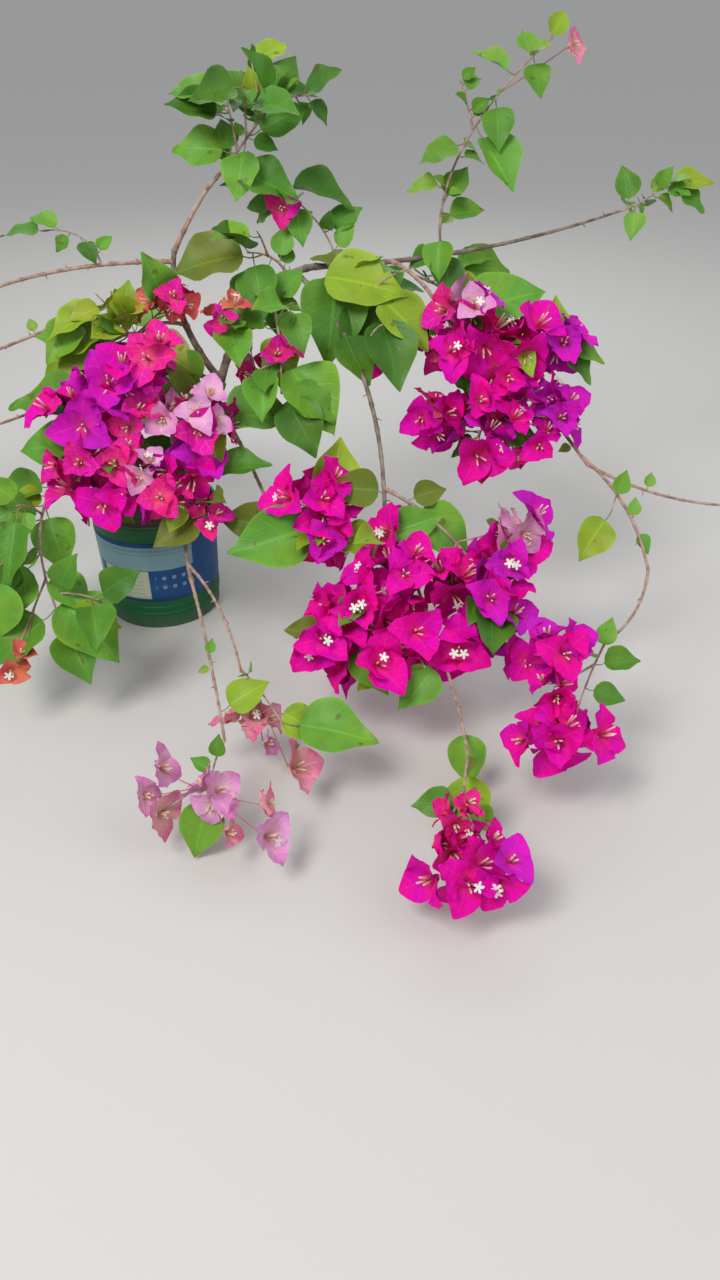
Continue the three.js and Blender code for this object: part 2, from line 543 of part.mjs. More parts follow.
// One mass: a stem, twigs round it by the golden angle, spokes to its heads, then leaves
// and blooms. The leaves that the photograph shows are placed by hand, by their headings.
const STEM_TAPER = 0.4;
const TWIG_RADIUS = 1.5;
const SPOKE_RADIUS = 1.4;
const TWIG_TIP_RADIUS = 1;
const TWIG_CLEARANCE = 3;
const TWIGS_FROM = 0.25;
const TWIGS_TO = 0.95;
const SPOKE_FIRST = 0.1;
const SHOW_LEAN = -0.12;
const SHOW_SHARES = [1, 0.85, 0.7, 0.55];
const TURN_A_TRY = 2.1;
const GOLDEN_SHARE = 0.618;
function growMass(name) {
  const { seed, radius, twigs: count, reach, leaves, leaf, show = [], heads = [] } = MASSES[name];
  const dice = new Dice(seed);
  const stem = STEMS[name];
  const plant = [tube(stem, (t) => radius * (1 - STEM_TAPER * t), 3, 4)];
  plant.hearts = [];
  plant.taken = [];
  const twigs = [stem];
  for (let i = 0; i < count; i++) {
    const t = TWIGS_FROM + ((TWIGS_TO - TWIGS_FROM) * (i + 0.5)) / count;
    const out = sideways(stem, t, i * GOLDEN + dice.next() * 2);
    const heading = unit(add(add(out, stem.heading(t), 0.7), [0, 0, 1], 0.2));
    const foot = stem.point(t);
    const tip = add(foot, heading, reach * (0.45 + 0.25 * dice.next()));
    const twig = new Bow(foot, tip, [0, 0, reach * 0.04]);
    if (!fits(name, [0.4, 0.7, 1].map((k) => twig.point(k)), TWIG_CLEARANCE)) continue;
    twigs.push(twig);
    plant.push(twigTube(twig, TWIG_RADIUS, TWIG_TIP_RADIUS));
  }
  const spokes = heads.map(([at, shift]) =>
    new Bow(stem.point(Math.max(SPOKE_FIRST, at - SPOKE_BACK)), headMiddle(stem, at, shift), STRAIGHT));
  for (const [k, spoke] of spokes.entries()) {
    if (heads[k][2] < 2 || !fits(name, [0.5, 1].map((k) => spoke.point(k)), TWIG_CLEARANCE)) continue;
    twigs.push(spoke);
    plant.push(twigTube(spoke, SPOKE_RADIUS, TWIG_TIP_RADIUS));
  }
  for (const [t, heading, size, head] of show) {
    const angle = (heading * Math.PI) / 180;
    const axis = unit(add([Math.cos(angle), SHOW_LEAN, 0], IMAGE_UP, Math.sin(angle)));
    const bow = head === undefined ? stem : spokes[head];
    if (!twigs.includes(bow)) continue;
    SHOW_SHARES.some((share) => addLeaf(plant, name, bow.point(t), axis, size * share));
  }
  for (let i = 0; i < leaves; i++) {
    const row = Math.floor(i / twigs.length);
    const rows = Math.ceil(leaves / twigs.length);
    const twig = twigs[i % twigs.length];
    const t = LEAVES_FROM + ((LEAVES_TO - LEAVES_FROM) * (row + 0.9)) / rows;
    const turn = i * GOLDEN + dice.next();
    const size = leaf * (0.8 + 0.35 * dice.next());
    for (let attempt = 0; attempt < LEAF_TRIES; attempt++) {
      const out = sideways(twig, t, turn + attempt * TURN_A_TRY);
      const axis = unit(add(add(out, twig.heading(t), 0.6), [0, 0, -1], 0.25));
      if (addLeaf(plant, name, twig.point(t), axis, size)) break;
    }
  }
  for (const [at, shift, blooms, size] of heads) {
    const middle = headMiddle(stem, at, shift);
    for (let k = 0; k < blooms; k++) {
      const way = spread(k, blooms);
      const centre = add(middle, way.map((v, n) => v * HEAD_STEP[n]), blooms - 1);
      const facing = unit(add(add(way, LIGHT, 0.5), [dice.next() - 0.5, dice.next() - 0.5, 0], 0.6));
      const share = (k * GOLDEN_SHARE) % 1;
      addBloom(plant, name, twigs, share, centre, facing, dice.next() * 2, size * (0.9 + 0.2 * dice.next()));
    }
  }
  return largestShell(wasm.Manifold.union(plant)).simplify(SMALLEST_STEP);
}

// The leaning trunk, flared at its foot and cut flat where it meets the soil
function growTrunk(extra) {
  const { tip, bow } = LIMBS.trunk;
  const lean = unit(add(tip, TRUNK_FOOT, -1));
  const buried = new Bow(add(TRUNK_FOOT, lean, -20), tip, bow);
  const radiusAt = (t, angle) => {
    const flare = Math.exp(-t * FLARE_FADE) * (1 + 0.35 * Math.sin(3 * angle));
    return limbRadius('trunk', t) + FLARE_RADIUS * flare + extra;
  };
  const below = new THREE.BoxGeometry(200, 200, 100).translate(0, 0, TRUNK_FOOT[2] - 50);
  return tube(buried, radiusAt, TRUNK_SIDES, 12, extra).subtract(solid(below));
}
// A limb, or with something extra round it the sleeve that its neighbours are cut clear of
function growLimb(name, extra = 0) {
  if (name === 'trunk') return growTrunk(extra);
  return tube(BOWS[name], (t) => limbRadius(name, t) + extra, LIMB_SIDES, LIMB_RINGS, extra);
}

// The pail: tapered wall, flat floor and a rolled rim
function buildPot() {
  const rimFoot = POT_HEIGHT - POT_RIM_HEIGHT;
  const inside = POT_WALL_TOP_RADIUS - POT_WALL;
  const section = [
    [0, 0], [POT_BASE_RADIUS - 2, 0], [POT_BASE_RADIUS, 2], [POT_WALL_TOP_RADIUS, rimFoot],
    [POT_RIM_RADIUS, rimFoot + 0.5], [POT_RIM_RADIUS, POT_HEIGHT - 1.5], [POT_RIM_RADIUS - 1.5, POT_HEIGHT],
    [inside, POT_HEIGHT], [POT_BASE_RADIUS - POT_WALL, POT_FLOOR], [0, POT_FLOOR],
  ];
  return solid(lathe(section));
}
function buildSoil() {
  const taper = (POT_WALL_TOP_RADIUS - POT_BASE_RADIUS) / POT_HEIGHT;
  const foot = POT_BASE_RADIUS - POT_WALL - GAP * 1.5;
  const floor = POT_FLOOR + GAP;
  const edge = SOIL_TOP - SOIL_EDGE_DROP;
  const section = [
    [0, floor], [foot, floor], [foot + taper * (edge - floor), edge], [SOIL_FLAT_RADIUS, SOIL_TOP], [0, SOIL_TOP],
  ];
  return solid(lathe(section));
}
function lathe(section) {
  const profile = section.map(([r, z]) => new THREE.Vector2(r, z));
  return new THREE.LatheGeometry(profile, AROUND).rotateX(Math.PI / 2);
}

const plant = new THREE.Group();
function place(name, body, color, roughness) {
  const material = new THREE.MeshStandardMaterial({ color, roughness, metalness: 0 });
  const mesh = new THREE.Mesh(geometryOf(body), material);
  mesh.name = name;
  plant.add(mesh);
}

place('pot', buildPot(), COLOURS.pot, 0.4);
place('soil', buildSoil(), COLOURS.soil, 0.95);

// Every limb is cut clear of the limbs made before it, and every mass clear of all limbs
const sleeves = [];
function cutClear(body) {
  const box = body.boundingBox();
  const near = sleeves.filter(({ bounds }) => [0, 1, 2].every((k) =>
    bounds.min[k] < box.max[k] && bounds.max[k] > box.min[k]));
  const cut = near.reduce((rest, { sleeve }) => rest.subtract(sleeve), body);
  return largestShell(cut);
}
for (const name of Object.keys(LIMBS)) {
  place(name, cutClear(growLimb(name)), name === 'trunk' ? COLOURS.trunk : COLOURS.limb, 0.85);
  const sleeve = growLimb(name, LIMB_GAP);
  sleeves.push({ sleeve, bounds: sleeve.boundingBox() });
}
for (const name of Object.keys(MASSES)) {
  place(name, cutClear(growMass(name)), MASSES[name].heads ? COLOURS.blossom : COLOURS.leaves, 0.6);
}

export default plant;
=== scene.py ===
"""A potted bougainvillea: its bark, leaves, papery bracts, flowers, pail and soil around the frame."""
import math
import random

import bpy
import numpy as np
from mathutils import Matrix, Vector, noise


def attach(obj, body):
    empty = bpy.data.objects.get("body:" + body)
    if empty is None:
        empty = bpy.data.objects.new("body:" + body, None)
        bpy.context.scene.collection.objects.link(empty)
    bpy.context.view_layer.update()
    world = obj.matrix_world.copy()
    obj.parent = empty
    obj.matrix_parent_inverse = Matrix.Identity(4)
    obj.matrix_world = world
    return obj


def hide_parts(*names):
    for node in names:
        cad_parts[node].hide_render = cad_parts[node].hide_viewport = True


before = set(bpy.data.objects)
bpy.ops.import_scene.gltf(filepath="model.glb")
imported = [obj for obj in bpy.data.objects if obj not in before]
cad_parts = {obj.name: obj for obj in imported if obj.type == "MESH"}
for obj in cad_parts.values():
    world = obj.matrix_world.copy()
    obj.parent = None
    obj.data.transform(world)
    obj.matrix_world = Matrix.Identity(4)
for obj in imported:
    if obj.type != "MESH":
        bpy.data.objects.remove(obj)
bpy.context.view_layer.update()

MM = 0.001

# The golden angle, and the golden section as a share of one
GOLDEN = math.pi * (3 - math.sqrt(5))
GOLDEN_SHARE = 0.618
UP = np.array([0.0, 0.0, 1.0])

# The photograph's camera: where it stands, how far it looks down and its lens
CAMERA_PLACE = (0.295, -1.234, 0.786)
CAMERA_DOWN = 35.0
CAMERA_LENS = 27.03
SENSOR = 36.0

# The pail and its soil, in millimetres
POT_HEIGHT = 166.0
POT_BASE_RADIUS = 81.0
POT_WALL_TOP_RADIUS = 87.5
POT_RIM_RADIUS = 90.0
POT_RIM_HEIGHT = 6.0
POT_WALL = 2.0
POT_FLOOR = 3.0
SOIL_TOP = 150.0
LABEL_LOW = 46.0
LABEL_HIGH = 142.0

# The wood, leaves and blooms: lengths and clearances in millimetres, and shares of a length
TRUNK_FOOT = np.array([14.0, 0.0, SOIL_TOP + 0.3])
TRUNK_ROOT = 20
FLARE_RADIUS = 6.0
FLARE_FADE = 14.0
BLOOM_RADIUS = 29.0
STALK = 0.24
TIP_RISE = 0.5
LIGHT = np.array([0.1, -0.55, 0.83]) / np.linalg.norm([0.1, -0.55, 0.83])
IMAGE_UP = np.array([0.0, 0.574, 0.819])
TOWARDS = np.array([0.0, -0.819, 0.574])
FLOOR_CLEARANCE = 14.0
POT_CLEARANCE = 6.0
LIMB_CLEARANCE = 5.0
TWIG_CLEARANCE = 3
NEIGHBOUR_MARGIN = 4.0
SHOWN_LEAF_MARGIN = -70.0
SHOWN_LEAF_LEAN = 0.12
LARGEST_LEAF_OUT = 40.0
LEAF_ROOM = 6.0
BLOOM_ROOM = 0.85
LEAF_TRIES = 4
HEAD_STEP = np.array([10.0, 8.0, 8.0])
STEM_RING_STEP = 3
STEM_TAPER = 0.55
SPOKE_BACK = 0.15
OWN_GREEN_SHARE = 0.8

# Twigs, and the spokes that carry the heads: where each is tested for room, its radius, its taper
# and its rings
TWIG = ((0.4, 0.7, 1), 1.5, 0.7, 14)
SPOKE = ((0.5, 1), 1.4, 0.5, 8)

# How a leaf turns round its twig until it has room, and how much it droops
LEAF_TURNS = (2.1, 0.25)
FILL_LEAF_TURNS = (1.7, 0.2)

# The room that a leaf or a bloom keeps from its like, its margin to other masses and its clearances,
# for the leaves that the photograph shows and for the finer growth. A finer bloom stands this far out.
SHOWN_LEAF_ROOMS = (1, SHOWN_LEAF_MARGIN, 0.5)
FILL_LEAF_ROOMS = (3, 1.5, 3)
FILL_BLOOM_ROOMS = (0.75, -16, 5, 3)
FILL_REACH = (1.1, 0.7, 0.9, 0.5)
LEAF_STALK_CLEARANCE = 1
BLOOM_STALK_CLEARANCE = 2

# Bracts: how far they lean out when shut and when open, in degrees, and their length for a
# bloom's radius. Flowers: the lobes of a star, its reach, and how many tubes have opened.
SHUT_LEAN = 22
OPEN_LEAN = 38
BRACT_LENGTH = 1.42
STAR_LOBES = 5
LOBE_REACH = (2.2, 5.2, 6.4, 5.2)
HOT_STARS = 0.13
OTHER_STARS = 0.03

# Where each finish stands among a piece's materials
STAR, PINK_TUBE, PALE_TUBE = range(3)
GREEN_STALK, PINK_STALK = 2, 3

# Limbs, as the frame has them: what each grows from, how far along it, its tip, its bow
# from the straight line, and its radius at the foot and the tip
LIMBS = {
    "trunk": (None, 0, (108, 30, 327), (5, -1, 0), (10.5, 6.5)),
    "left_stem": ("trunk", 1, (53, 80, 482), (-20, 0, 0), (4.8, 3.3)),
    "right_bough": ("trunk", 0.93, (236, 72, 466), (-14, 14, 30), (5.6, 4.2)),
    "long_cane": ("right_bough", 1, (656, 200, 509), (0, -14, -12), (3.8, 1.7)),
    "top_left_cane": ("left_stem", 1, (111, 100, 565), (4, -2, 12), (3.1, 2.3)),
    "left_back_cane": ("left_stem", 0.93, (-330, 150, 370), (-10, 0, 22), (3, 1.6)),
    "left_front_cane": ("left_stem", 0.82, (-290, -60, 350), (10, 18, -2), (2.8, 1.5)),
    "inner_left_cane": ("left_stem", 0.45, (8, 30, 392), (-6, 4, 6), (2.6, 2)),
    "front_bough": ("right_bough", 0.86, (325, -190, 232), (30, 8, 20), (3.4, 2.4)),
    "tail_cane": ("front_bough", 0.96, (413, -450, 80), (23, 0, -42), (2, 1.6)),
    "middle_bough": ("long_cane", 0.24, (402, 24, 418), (4, 0, 8), (2.9, 2.3)),
    "low_right_bough": ("middle_bough", 0.86, (590, -80, 257), (14, 50, -10), (2.5, 2.2)),
    "low_right_cane": ("low_right_bough", 1, (860, -110, 218), (0, 0, -26), (2.1, 1.3)),
    "loop_cane_upper": ("low_right_bough", 0.96, (648, -220, 181), (12, 0, 8), (2.1, 1.9)),
    "loop_cane_lower": ("loop_cane_upper", 1, (577, -330, 149), (9, -6, -4), (1.8, 1.5)),
    "droop_bough": ("trunk", 0.8, (80, -190, 152), (-20, 0, 0), (3.4, 2.4)),
    "droop_cane_left": ("droop_bough", 1, (144, -420, 80), (2, 0, 8), (2.2, 1.6)),
    "droop_cane_right": ("droop_bough", 0.93, (156, -335, 113), (8, 0, 10), (2, 1.5)),
    "inner_cane": ("trunk", 0.87, (192, -140, 190), (0, 0, 12), (2.8, 2.1)),
    "pot_bough": ("trunk", 0.97, (2, -12, 352), (0, 0, 16), (3.4, 2.4)),
    "left_low_bough": ("trunk", 0.74, (-98, -80, 242), (0, 34, 10), (3, 2.2)),
    "left_low_cane": ("left_low_bough", 1, (-272, -165, 158), (0, 0, 8), (2, 1.4)),
    "left_middle_cane": ("pot_bough", 0.82, (-285, -52, 264), (0, -8, 0), (2.2, 1.4)),
    "back_left_bough": ("trunk", 0.66, (0, 150, 300), (0, 0, 14), (3, 2.2)),
    "back_right_bough": ("right_bough", 0.3, (290, 190, 340), (0, 10, 16), (3, 2.2)),
}

# Tints of leaves and bracts by name, dealt out by spray
GREENS = "deep mid bright lime yellow olive young".split()
PINKS = "hot purple rose pale salmon blush".split()


def mass(seed, grows, tip, bow, radius, twigs, reach, leaves, leaf, show=(), heads=(), greens="mid",
         more=1.0):
    """One mass: its stem, its twigs and leaves, and two lists. The leaves that the photograph shows are
    (place along the stem, heading, size), then a head's number where one grows from the spoke of that
    head, and a tint where it has one of its own. The heads of blossom are (place along the stem,
    (right, up, towards the camera), blooms, size, tints). More is the share of finer growth."""
    return {"seed": seed, "from": grows[0], "at": grows[1], "tip": tip, "bow": bow, "radius": radius,
            "twigs": twigs, "reach": reach, "leaves": leaves, "leaf": leaf, "show": show, "heads": heads,
            "greens": greens.split(), "more": more}


MASSES = {
    "top_left_leaves": mass(
        11, ("top_left_cane", 1), (190, 112, 655), (6, 0, 4), 2, 5, 130, 10, 66,
        ((0.15, -20, 84), (0.3, 168, 70), (0.5, 30, 70), (0.7, 120, 64), (0.9, 65, 56), (0.45, -100, 66)),
        greens="deep mid bright mid"),
    "upright_spray": mass(
        23, ("long_cane", 0.4), (533, 160, 716), (-46, -17, 0), 2, 1, 96, 1, 44,
        ((0.12, -95, 56), (0.26, 60, 50), (0.34, 178, 44), (0.55, 200, 56), (0.62, -60, 80),
         (0.74, -85, 56), (0.84, 150, 50), (0.92, -80, 46), (0.98, 60, 36)),
        ((1, (-2, 14, 14), 1, 0.5, "salmon"), (1, (20, -16, 8), 1, 0.65, "blush")),
        greens="mid bright mid young"),
    "right_tip_spray": mass(
        31, ("long_cane", 1), (728, 226, 545), (0, 0, -6), 1.5, 0, 90, 0, 44,
        ((0.2, 100, 48), (0.3, -95, 42), (0.85, 12, 60), (0.95, -40, 54), (0.6, 60, 30)),
        greens="bright mid young"),
    "thin_cane_spray": mass(
        37, ("long_cane", 0.07), (176, 118, 560), (16, 6, 4), 1.6, 0, 100, 0, 60,
        ((0.92, -3, 86), (0.75, -80, 52), (0.9, 170, 66), (0.35, 40, 50)),
        ((0.9, (2, -22, 8), 2, 0.68, "rose"),), greens="mid deep bright"),
    "crown_leaves_right": mass(
        41, ("long_cane", 0.1), (345, -40, 392), (0, 0, 10), 2.4, 2, 134, 0, 84,
        ((0.3, -85, 104, "deep"), (0.2, 150, 56, "olive"), (0.05, 130, 44, "bright")),
        greens="deep lime mid deep bright", more=0.3),
    "crown_leaves_inner": mass(
        43, ("right_bough", 0.62), (196, -66, 346), (6, 0, 16), 2.4, 2, 116, 4, 80,
        ((0.2, 50, 50), (0.72, -52, 104, "bright"), (0.95, -60, 84, "deep"), (0.45, -85, 70),
         (0.5, 170, 70)),
        ((0.3, (-61, -25, 29), 3, 0.7, "rose salmon"), (0.6, (-63, -34, -2), 3, 0.8, "rose"),
         (0.8, (-7, 15, -13), 3, 0.7, "rose pale")), greens="mid bright lime mid"),
    "crown_leaves_left": mass(
        47, ("inner_left_cane", 1), (-30, -6, 386), (0, 0, 6), 2.2, 3, 118, 5, 84,
        ((0.2, -30, 84), (0.3, 205, 108), (0.8, 172, 84), (0.6, 80, 62), (0.9, 225, 80)),
        ((0.2, (58, 36, 28), 3, 0.75, "rose salmon"),), greens="lime yellow lime bright"),
    "high_crown_leaves": mass(
        53, ("right_bough", 0.8), (150, 60, 486), (6, 0, 8), 2.2, 1, 100, 1, 66,
        ((0.7, 184, 106, "olive"), (0.5, -120, 86, "bright"), (0.3, 80, 42, "bright"),
         (0.9, -80, 74, "mid")),
        greens="olive deep mid bright", more=0.3),
    "far_left_spray": mass(
        59, ("left_back_cane", 0.24), (-128, 120, 500), (14, 0, 14), 1.4, 0, 70, 0, 40,
        ((0.9, 178, 62), (0.75, 150, 40), (0.5, -60, 36)), greens="bright mid", more=0.4),
    "left_back_outer_spray": mass(
        61, ("left_back_cane", 1), (-392, 150, 372), (0, 0, 8), 1.5, 2, 84, 7, 56,
        greens="mid bright deep"),
    "left_front_outer_spray": mass(
        67, ("left_front_cane", 1), (-350, -80, 345), (0, 0, 8), 1.5, 2, 84, 7, 58,
        greens="mid bright lime"),
    "pot_blossom_left": mass(
        71, ("pot_bough", 1), (-54, -136, 196), (-14, -10, 22), 2.4, 0, 124, 1, 84,
        ((0.35, 165, 108), (0.55, 178, 84), (0.5, -30, 60)),
        ((0.6, (-1, 42, 34), 4, 1.25, "purple hot"), (0.35, (17, 30, 34), 3, 1.15, "purple hot purple"),
         (0.2, (53, 33, 46), 3, 1.05, "hot rose"), (0.6, (51, 36, 24), 2, 0.85, "rose"),
         (0.75, (0, 17, 24), 3, 1.1, "rose hot"), (0.8, (43, 27, 20), 3, 0.95, "rose"),
         (1, (26, 40, 25), 4, 1.1, "hot purple rose"), (0.9, (73, 41, 32), 2, 0.65, "pale")),
        greens="bright mid"),
    "pot_blossom_right": mass(
        73, ("pot_bough", 0.3), (96, -142, 200), (10, -8, 14), 2.4, 0, 120, 1, 76,
        ((0.35, 6, 106, "bright"), (0.7, 10, 70, "mid"), (0.2, 120, 70)),
        ((0.5, (-3, 20, 35), 4, 0.95, "pale rose"), (0.4, (-44, 7, 41), 2, 0.75, "pale rose"),
         (0.8, (-14, 24, 22), 3, 1.2, "purple hot"), (1, (-49, 34, 25), 3, 0.85, "rose"),
         (1, (9, 8, 21), 2, 0.75, "rose")),
        greens="bright lime olive"),
    "middle_blossom": mass(
        79, ("middle_bough", 1), (462, -62, 272), (12, 0, 18), 2.4, 0, 150, 1, 60,
        ((0.1, 26, 112), (0.3, -88, 56), (0.9, 80, 56, 4), (0.95, -15, 58, 4), (1, -50, 56, 4),
         (0.9, -10, 60)),
        ((0.3, (4, 39, 25), 3, 1, "rose pale purple"), (0.4, (14, 17, 18), 3, 1.2, "hot"),
         (0.5, (59, 25, 19), 3, 1.25, "hot"), (0.5, (-37, 15, 17), 3, 0.95, "rose hot"),
         (0.7, (95, 65, 11), 3, 0.95, "purple"), (0.8, (-76, -1, 11), 4, 1.1, "rose hot"),
         (0.9, (-16, 34, 17), 3, 1.1, "hot rose"), (0.9, (38, 34, 15), 3, 1.2, "purple hot"),
         (0.9, (90, 15, 1), 3, 1, "purple"), (1, (-20, 2, 13), 4, 1.15, "hot purple"),
         (1, (36, -4, 2), 2, 0.6, "salmon rose"), (0.6, (31, 10, 16), 2, 1, "hot rose"),
         (0.7, (81, 7, 0), 2, 0.95, "purple hot"), (0.9, (18, 0, 16), 2, 1, "hot"),
         (0.9, (63, -13, 5), 2, 0.95, "hot purple")),
        greens="lime bright mid"),
    "front_blossom_left": mass(
        83, ("front_bough", 1), (282, -300, 122), (0, -10, 14), 2.4, 0, 130, 1, 66,
        ((0.15, 20, 66), (0.9, -128, 78, 5), (0.85, 165, 44, 3)),
        ((0.2, (44, 18, -4), 3, 1.05, "rose hot"), (0.5, (40, 2, -5), 4, 1.15, "hot"),
         (0.8, (-1, 17, 0), 3, 1.15, "hot"), (0.9, (-36, -9, 3), 4, 1.15, "hot"),
         (1, (32, -20, 4), 4, 1.25, "hot"), (0.9, (71, 0, -1), 4, 1.2, "hot")),
        greens="olive bright lime"),
    "front_blossom_right": mass(
        89, ("front_bough", 0.9), (462, -274, 158), (10, 0, 16), 2.4, 0, 130, 1, 70,
        ((0.15, -36, 92), (0.05, 172, 64)),
        ((0.7, (-25, -25, 9), 3, 1.15, "hot"), (0.8, (4, -22, 7), 3, 1.2, "hot purple"),
         (0.8, (28, 21, 1), 3, 1.1, "purple hot"), (0.7, (58, 43, 8), 2, 1.1, "purple pale"),
         (1, (-53, -44, 1), 3, 1.15, "hot"), (1, (-2, -24, 0), 3, 1.1, "hot purple"),
         (1, (28, -50, 4), 2, 0.85, "rose hot")),
        greens="olive bright"),
    "inner_blossom": mass(
        97, ("inner_cane", 1), (262, -172, 222), (0, -6, 8), 1.8, 0, 110, 0, 60,
        ((0.9, 80, 92), (0.9, 197, 108), (0.1, 165, 70), (1, -32, 64)),
        ((0.7, (7, 23, 12), 4, 1.15, "hot"), (0.9, (-7, -23, 2), 3, 1.1, "hot purple")),
        greens="lime lime deep olive"),
    "loop_blossom": mass(
        101, ("loop_cane_lower", 1), (524, -432, 92), (-4, -4, 6), 1.4, 0, 92, 0, 46,
        ((0.25, 10, 44), (0.1, 75, 34), (0.5, -15, 40)),
        ((0.3, (-43, 22, 20), 3, 0.95, "hot purple"), (0.4, (-44, -9, 23), 2, 0.85, "hot"),
         (1, (-20, 5, 8), 3, 1.05, "hot"), (1, (27, 2, 5), 2, 0.9, "purple hot")),
        greens="bright mid", more=0.4),
    "loop_cane_leaves": mass(
        157, ("loop_cane_upper", 0.4), (612, -150, 226), (0, 0, 4), 1.3, 0, 96, 0, 40,
        ((1, 232, 64), (0.5, 70, 34)), greens="bright lime", more=0),
    "tail_blossom": mass(
        103, ("tail_cane", 1), (402, -600, 62), (-6, 0, 14), 1.5, 0, 96, 0, 36,
        ((0.05, -88, 66), (0.5, 172, 46), (0.5, -38, 38)),
        ((0.5, (-14, -2, 35), 2, 0.6, "rose"), (0.7, (-17, -8, 19), 2, 0.8, "rose hot"),
         (0.7, (-29, -12, 15), 1, 0.75, "hot"),
         (0.7, (16, -10, 14), 2, 0.8, "rose hot"), (1, (-6, 2, -2), 3, 1.05, "hot"),
         (1, (24, 5, -2), 2, 0.9, "hot purple")),
        greens="bright olive mid", more=0.3),
    "low_droop_blossom": mass(
        107, ("droop_cane_left", 1), (140, -512, 60), (-6, 0, 4), 1.5, 0, 112, 0, 40,
        ((0.9, -97, 74, 2), (0.35, 80, 26), (0.5, 140, 24)),
        ((0.4, (-54, -1, 13), 1, 0.85, "pale blush"), (0.5, (-69, -23, 16), 1, 0.6, "pale"),
         (0.7, (-53, -28, 6), 1, 0.8, "blush"), (0.9, (0, 10, -3), 2, 0.9, "pale"),
         (1, (18, -19, 11), 1, 0.6, "blush"), (1, (60, -21, 19), 1, 1.05, "pale"),
         (0.9, (57, 2, 12), 1, 0.7, "blush")),
        greens="bright mid", more=0),
    "right_droop_leaves": mass(
        109, ("droop_cane_right", 1), (212, -412, 88), (0, 0, 8), 1.5, 0, 100, 0, 60,
        ((0.9, -4, 92, "bright"), (0.72, -22, 56, "lime")),
        ((0.5, (-27, -36, -15), 2, 0.75, "blush"), (0.6, (-1, -22, -19), 1, 0.7, "blush"),
         (1, (10, -42, 5), 1, 1.0, "blush"), (0.8, (-13, -36, -19), 1, 0.6, "pale")),
        greens="lime bright lime", more=0.2),
    "low_right_spray": mass(
        113, ("low_right_cane", 1), (896, -120, 226), (0, 0, 6), 1.3, 1, 70, 5, 46, greens="bright mid"),
    "low_left_leaves": mass(
        127, ("left_low_bough", 0.96), (-66, -262, 122), (-26, -10, 22), 2.4, 3, 130, 3, 80,
        ((0.6, -128, 106), (0.8, -38, 106), (0.4, 178, 78), (0.7, -35, 66), (0.95, -60, 74),
         (0.9, -140, 88), (0.3, -70, 76)),
        ((0.9, (-51, -66, 7), 2, 0.7, "salmon"),), greens="mid bright mid"),
    "left_low_outer_spray": mass(
        131, ("left_low_cane", 1), (-322, -190, 142), (0, 0, 8), 1.5, 2, 84, 8, 62, greens="mid bright"),
    "left_middle_outer_spray": mass(
        137, ("left_middle_cane", 1), (-340, -60, 252), (0, 0, 8), 1.5, 2, 78, 6, 60,
        greens="mid bright lime"),
    "back_left_leaves": mass(
        139, ("back_left_bough", 1), (-64, 222, 268), (0, 0, 20), 2.2, 4, 130, 10, 84,
        (), ((0.8, (0, 0, 0), 4, 1, "hot rose"), (0.4, (0, -20, -40), 3, 1, "rose")),
        greens="mid deep bright"),
    "back_right_leaves": mass(
        149, ("back_right_bough", 1), (360, 250, 308), (0, 0, 18), 2.2, 4, 130, 10, 84,
        (), ((0.8, (0, 0, 0), 4, 1, "hot purple"), (0.4, (0, -20, -40), 3, 1, "hot")),
        greens="mid deep bright"),
    "back_middle_leaves": mass(
        151, ("middle_bough", 0.4), (486, 150, 330), (0, 10, 18), 2, 3, 110, 8, 74,
        (), ((0.85, (0, 0, 0), 4, 1, "purple hot"),), greens="mid deep bright"),
}

# Single leaves: what bears each, how far along it, its heading in the photograph, size, tint
# and, where it hangs over its bearer, how far in front of it
SINGLE_LEAVES = (
    ("tail_cane", 0.8, -82, 62, "bright"), ("tail_cane", 0.52, -135, 66, "bright"),
    ("droop_cane_left", 0.55, 80, 18, "bright"), ("droop_cane_left", 0.62, 190, 14, "young"),
    ("loop_cane_upper", 0.62, 80, 24, "young"), ("loop_cane_upper", 0.7, -60, 30, "bright"),
    ("low_right_bough", 0.9, 200, 18, "young"), ("low_right_cane", 0.3, 75, 22, "young"),
    ("upright_spray", 0.2, 12, 48, "mid"), ("upright_spray", 0.05, -78, 64, "deep"),
    ("upright_spray", 0.03, 205, 42, "mid"), ("low_droop_blossom", 0.7, -104, 66, "bright"),
    ("droop_cane_left", 0.86, 38, 56, "lime"), ("left_front_cane", 0.55, 110, 20, "young"),
    ("long_cane", 0.08, -97, 118, "mid", 27),
    ("front_bough", 0.06, -6, 112, "lime", 29), ("crown_leaves_right", 0.42, -38, 92, "lime", 14),
    ("crown_leaves_right", 0.6, -75, 94, "deep", 12), ("front_bough", 0.3, -64, 72, "deep", 15),
    ("crown_leaves_inner", 0.1, -75, 48, "mid"),
    ("right_bough", 0.25, 85, 52, "bright"), ("left_low_bough", 0.4, -80, 70, "deep"),
    ("pot_blossom_left", 0.55, -5, 72, "bright"), ("pot_blossom_left", 0.4, 28, 60, "mid"),
)


def unit(v):
    v = np.asarray(v, float)
    return v / np.linalg.norm(v)


class Dice:
    """A repeatable dice: the same seed always gives the same plant."""

    SPREAD = 7919
    FACTOR = 16807
    LARGEST = 2147483647

    def __init__(self, seed):
        self.state = seed * self.SPREAD

    def next(self):
        self.state = (self.state * self.FACTOR) % self.LARGEST
        return self.state / self.LARGEST

    def about(self, least, more):
        """A number from least up to least + more."""
        return least + more * self.next()

    def facing(self, way, turned, lean):
        """A way turned towards the light and leaned at random."""
        return unit(way + LIGHT * turned + np.array([self.next() - 0.5, self.next() - 0.5, 0]) * lean)


